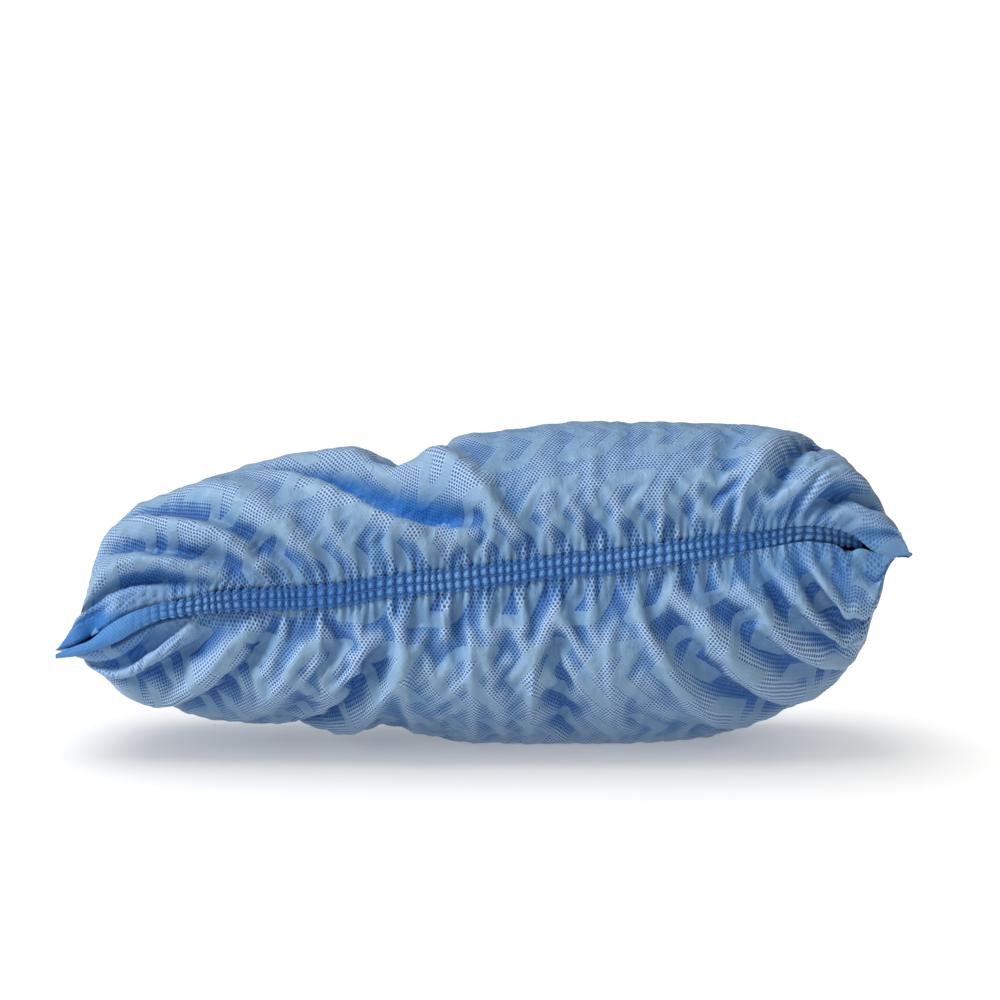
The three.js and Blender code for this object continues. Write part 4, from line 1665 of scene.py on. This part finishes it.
@dataclass
class EndSeam:
    """An overlocked end seam: a doubled edge of cloth wrapped in loops of thread."""

    form: CoverForm
    name: str
    side: str
    outwards: int
    width: float = 5.2
    thickness: float = 1.1
    loop_pitch: float = 1.7
    thread_radius: float = 0.24
    # How far the flange's edge sways up and down, and how much painted shade its cloth gets.
    sway_share: float = 1.4
    painted_shade: float = 0.35
    steps: int = 260

    def line(self, part: np.ndarray) -> tuple[np.ndarray, np.ndarray]:
        """Give the seam line and its outward direction.

        Args:
            part: Places from hem (0) to sole (1).

        Returns:
            Points and unit directions, both of shape (n, 3).
        """
        points = self.form.seam_point(self.side, part)
        ahead = np.gradient(points, axis=0)
        out = np.stack([ahead[:, 1], -ahead[:, 0], np.zeros(len(part))], axis=-1) * self.outwards
        out /= np.linalg.norm(out, axis=1, keepdims=True)
        steer = smoothstep(part, 0.0, 0.16)[:, None]
        first = np.array([self.outwards * -0.1, 0.35, -0.95])
        out = out * steer + first * (1 - steer)
        return points, out / np.linalg.norm(out, axis=1, keepdims=True)

    def build(self) -> list[bpy.types.Object]:
        """Build the flange and its thread.

        Returns:
            The flange and the loops.
        """
        part = np.linspace(0.1, 0.985, self.steps + 1)
        line, out = self.line(part)
        length = np.concatenate([[0], np.cumsum(np.linalg.norm(np.diff(line, axis=0), axis=1))])
        width = self.width * smoothstep(part, 0.06, 0.2) * (1 - 0.4 * smoothstep(part, 0.9, 1))
        sway = 0.5 * waves(length, np.zeros_like(length), 26, 71) + 0.25 * waves(length, length * 0, 9, 72)
        up = np.array([0, 0, 1.0])
        across = np.linspace(0, 1, 7)
        middle = line[:, None] + out[:, None] * (width[:, None] * across)[..., None]
        middle = middle + up * (sway[:, None] * across * self.sway_share)[..., None]
        half = self.thickness / 2 * (1 - 0.5 * across**6)
        top, under = middle + up * half[:, None], middle - up * half[:, None]
        ring = np.concatenate([top, under[:, ::-1]], axis=1)
        spread = np.concatenate([across, across[::-1] + 1.5]) * self.width * MM
        flange = closed_strip(self.name, ring, length * MM, spread, turned_over=self.outwards > 0)
        add_value(flange, "PaintedShade", np.full(ring.shape[:2], self.painted_shade))
        return [flange, self.loops(length, line, out, width, sway)]

    def loops(
        self,
        length: np.ndarray,
        line: np.ndarray,
        out: np.ndarray,
        width: np.ndarray,
        sway: np.ndarray,
    ) -> bpy.types.Object:
        """Wrap thread round the edge: each loop goes over the flange, round its edge and back under.

        Args:
            length: Distance along the seam of each of its points.
            line: Points of the seam.
            out: Their outward directions.
            width: Width of the flange at each of them.
            sway: Rise and fall of the flange's edge at each of them.

        Returns:
            The loops as one mesh object.
        """
        count = int(length[-1] / self.loop_pitch)
        turn = np.linspace(-0.5, 0.5, 9)
        at = (np.arange(count)[:, None] + 0.5 + 0.45 * turn) * self.loop_pitch

        def read(values: np.ndarray) -> np.ndarray:
            """Read values along the seam at the loops' points."""
            return np.interp(at, length, values)

        place = np.stack([read(line[:, k]) for k in range(3)], axis=-1)
        outward = np.stack([read(out[:, k]) for k in range(3)], axis=-1)
        reach = 0.22 + 0.8 * np.cos(math.pi * turn)
        over = (self.thickness / 2 + 0.22) * np.sin(math.pi * turn) * 1.15
        paths = place + outward * (read(width) * reach)[..., None]
        paths[..., 2] += read(sway) * self.sway_share * reach + over
        points, quads = tube_batch(paths, self.thread_radius)
        return make_object(self.name + "_thread", PLACE.to_frame(points), [quads])


@dataclass
class Place:
    """Puts the form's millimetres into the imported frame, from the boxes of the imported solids."""

    shift: np.ndarray
    scale: float

    @classmethod
    def from_frame(cls, form: CoverForm) -> "Place":
        """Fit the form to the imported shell: its length gives the scale, its hem the depth.

        Args:
            form: The form, in millimetres.

        Returns:
            Its place.
        """
        low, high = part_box("cover_shell")
        scale = (high.x - low.x) / (form.end_seams["right"][0] - form.end_seams["left"][0])
        hem_low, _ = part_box("upper_hem")
        hem_stands_out = 0.6
        front = min(form.sections["valley"]) - hem_stands_out
        return cls(np.array([(low.x + high.x) / 2, hem_low.y - front * scale, low.z]), scale)

    def to_frame(self, points: np.ndarray) -> np.ndarray:
        """Turn millimetres of the form into metres of the frame."""
        return points * self.scale + self.shift


# ---------------------------------------------------------------------------------------------
# The studio
# ---------------------------------------------------------------------------------------------


@dataclass
class Studio:
    """A pale floor with lamps of its own, soft light on the cover from the left, and the camera."""

    aim: tuple[float, float, float] = (0.0065, -0.02, 0.0965)
    elevation: float = 9.0
    view_width: float = 0.374
    lens: float = 100.0
    sensor: float = 36.0
    surroundings: float = 0.06
    floor_glow: float = 0.24

    def build(self) -> None:
        """Add the floor, the lights, the world and the camera."""
        floor = self.floor()
        cover_lamps = [
            self.sun("key", (-0.80, -0.40, 0.80), 2.75, 18),
            self.sun("top_light", (-0.1, 0.1, 1.0), 0.7, 110),
            self.sun("front_fill", (-0.45, -0.9, 0.30), 0.65, 60),
        ]
        for lamp in cover_lamps:
            self.aim_at(lamp, floor, "EXCLUDE")
        self.aim_at(self.sun("floor_light", (-0.22, 0.15, 1.0), 1.4, 44), floor, "INCLUDE")
        self.aim_at(self.sun("wide_floor_light", (-0.1, -0.1, 1.0), 1.75, 160), floor, "INCLUDE")
        self.world()
        view = bpy.context.scene.view_settings
        view.view_transform = "Standard"
        view.look = "None"
        self.camera()

    def aim_at(self, lamp: bpy.types.Object, floor: bpy.types.Object, state: str) -> None:
        """Let a lamp light only the floor, or all but the floor.

        Args:
            lamp: The lamp.
            floor: The floor.
            state: INCLUDE for only the floor, EXCLUDE for all but the floor.
        """
        lit = bpy.data.collections.new(f"{lamp.name}_lit")
        lit.objects.link(floor)
        lit.collection_objects[0].light_linking.link_state = state
        lamp.light_linking.receiver_collection = lit

    def world(self) -> None:
        """Light the scene evenly from all round; the camera sees the surroundings as white."""
        world = bpy.data.worlds.new("studio_light")
        world.use_nodes = True
        nodes = Nodes(world.node_tree)
        soft = world.node_tree.nodes["Background"]
        set_inputs(soft, {"Color": (0.93, 0.97, 1.0, 1), "Strength": self.surroundings})
        white = nodes.add("ShaderNodeBackground")
        set_inputs(white, {"Color": (1.0, 1.0, 1.0, 1)})
        choose = nodes.add("ShaderNodeMixShader")
        nodes.feed(choose.inputs[0], nodes.add("ShaderNodeLightPath").outputs["Is Camera Ray"])
        nodes.feed(choose.inputs[1], soft.outputs[0])
        nodes.feed(choose.inputs[2], white.outputs[0])
        nodes.feed(world.node_tree.nodes["World Output"].inputs["Surface"], choose.outputs[0])
        bpy.context.scene.world = world

    def floor(self) -> bpy.types.Object:
        """Add the floor as one large square that glows a little, and return it."""
        reach = 30.0
        corners = reach * np.array([[-1, -1, 0], [1, -1, 0], [1, 1, 0], [-1, 1, 0]])
        floor = make_object("studio_floor", corners, [np.array([[0, 1, 2, 3]])], smooth=False)
        material = bpy.data.materials.new("pale_floor")
        material.use_nodes = True
        shader = material.node_tree.nodes["Principled BSDF"]
        constants = {
            "Base Color": (0.83, 0.82, 0.81, 1),
            "Roughness": 0.9,
            "Emission Color": (1.0, 0.97, 0.93, 1),
            "Emission Strength": self.floor_glow,
        }
        set_inputs(shader, constants)
        floor.data.materials.append(material)
        return floor

    def sun(
        self, name: str, towards: tuple[float, float, float], power: float, spread: float
    ) -> bpy.types.Object:
        """Add even light from one side.

        Args:
            name: Name of the light.
            towards: Direction to the light.
            power: Its irradiance.
            spread: Its apparent size in degrees, which softens the shadows.

        Returns:
            The lamp.
        """
        data = bpy.data.lights.new(name, "SUN")
        data.energy = power
        data.angle = math.radians(spread)
        lamp = bpy.data.objects.new(name, data)
        lamp.rotation_euler = self.facing(-np.array(towards))
        bpy.context.scene.collection.objects.link(lamp)
        return lamp

    def facing(self, direction: np.ndarray) -> tuple[float, float, float]:
        """Give the Euler angles that turn a lamp or camera from -Z to the direction, upright."""
        flat = math.hypot(direction[0], direction[1])
        return (math.atan2(flat, -direction[2]), 0.0, math.atan2(-direction[0], direction[1]))

    def camera(self) -> None:
        """Add the camera in front of the cover, looking down by the elevation."""
        data = bpy.data.cameras.new("camera")
        data.lens = self.lens
        data.sensor_width = self.sensor
        distance = self.view_width * self.lens / self.sensor
        tilt = math.radians(self.elevation)
        back = np.array([0, -math.cos(tilt), math.sin(tilt)])
        camera = bpy.data.objects.new("camera", data)
        camera.location = np.array(self.aim) + back * distance
        camera.rotation_euler = self.facing(-back)
        bpy.context.scene.collection.objects.link(camera)
        bpy.context.scene.camera = camera


FORM = CoverForm()
PLACE = Place.from_frame(FORM)


def dress(obj: bpy.types.Object, material: bpy.types.Material, slot: str, *nodes: str) -> None:
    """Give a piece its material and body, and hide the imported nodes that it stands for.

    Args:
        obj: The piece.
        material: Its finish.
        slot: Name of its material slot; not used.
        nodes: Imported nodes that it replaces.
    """
    obj.data.materials.append(material)
    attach(obj, "root")
    if nodes:
        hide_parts(*nodes)
    log.info("%s: %d faces", obj.name, len(obj.data.polygons))


def main() -> None:
    """Build the studio, the sheet, the hems and the seams, and dress them."""
    Studio().build()
    groups = {
        "bond_points": bond_points_group(),
        "tread_print": tread_print_group(),
        "crumple": crumple_group(),
    }
    cloth = ClothFinish("printed_spunbond").make(groups)
    hem_cloth = ClothFinish("gathered_spunbond", printed=False, point_radius=0.36).make(groups)
    sheet = CoverSheet(FORM).build()
    dress(sheet, cloth, "nonwoven_fabric", "cover_shell")

    band, stitches = GatheredHem(FORM).build()
    dress(band, hem_cloth, "elastic_hem", "upper_hem")
    thread = ThreadFinish("hem_thread", (0.03, 0.12, 0.38)).make()
    dress(stitches, thread, "elastic_hem")
    dress(TurnedHem(FORM).build(), hem_cloth, "elastic_hem", "lower_hem")

    overlock = ThreadFinish("overlock_thread", (0.02, 0.16, 0.72)).make()
    ends = ("toe_edge", "left", -1, "toe_seam"), ("heel_edge", "right", 1, "heel_seam")
    for name, side, outwards, node in ends:
        flange, loops = EndSeam(FORM, name, side, outwards).build()
        dress(flange, hem_cloth, "overlock_seam", node)
        dress(loops, overlock, "overlock_seam")


if __name__ == "__main__":
    logging.basicConfig(level=logging.INFO, format="%(name)s: %(message)s")
    main()
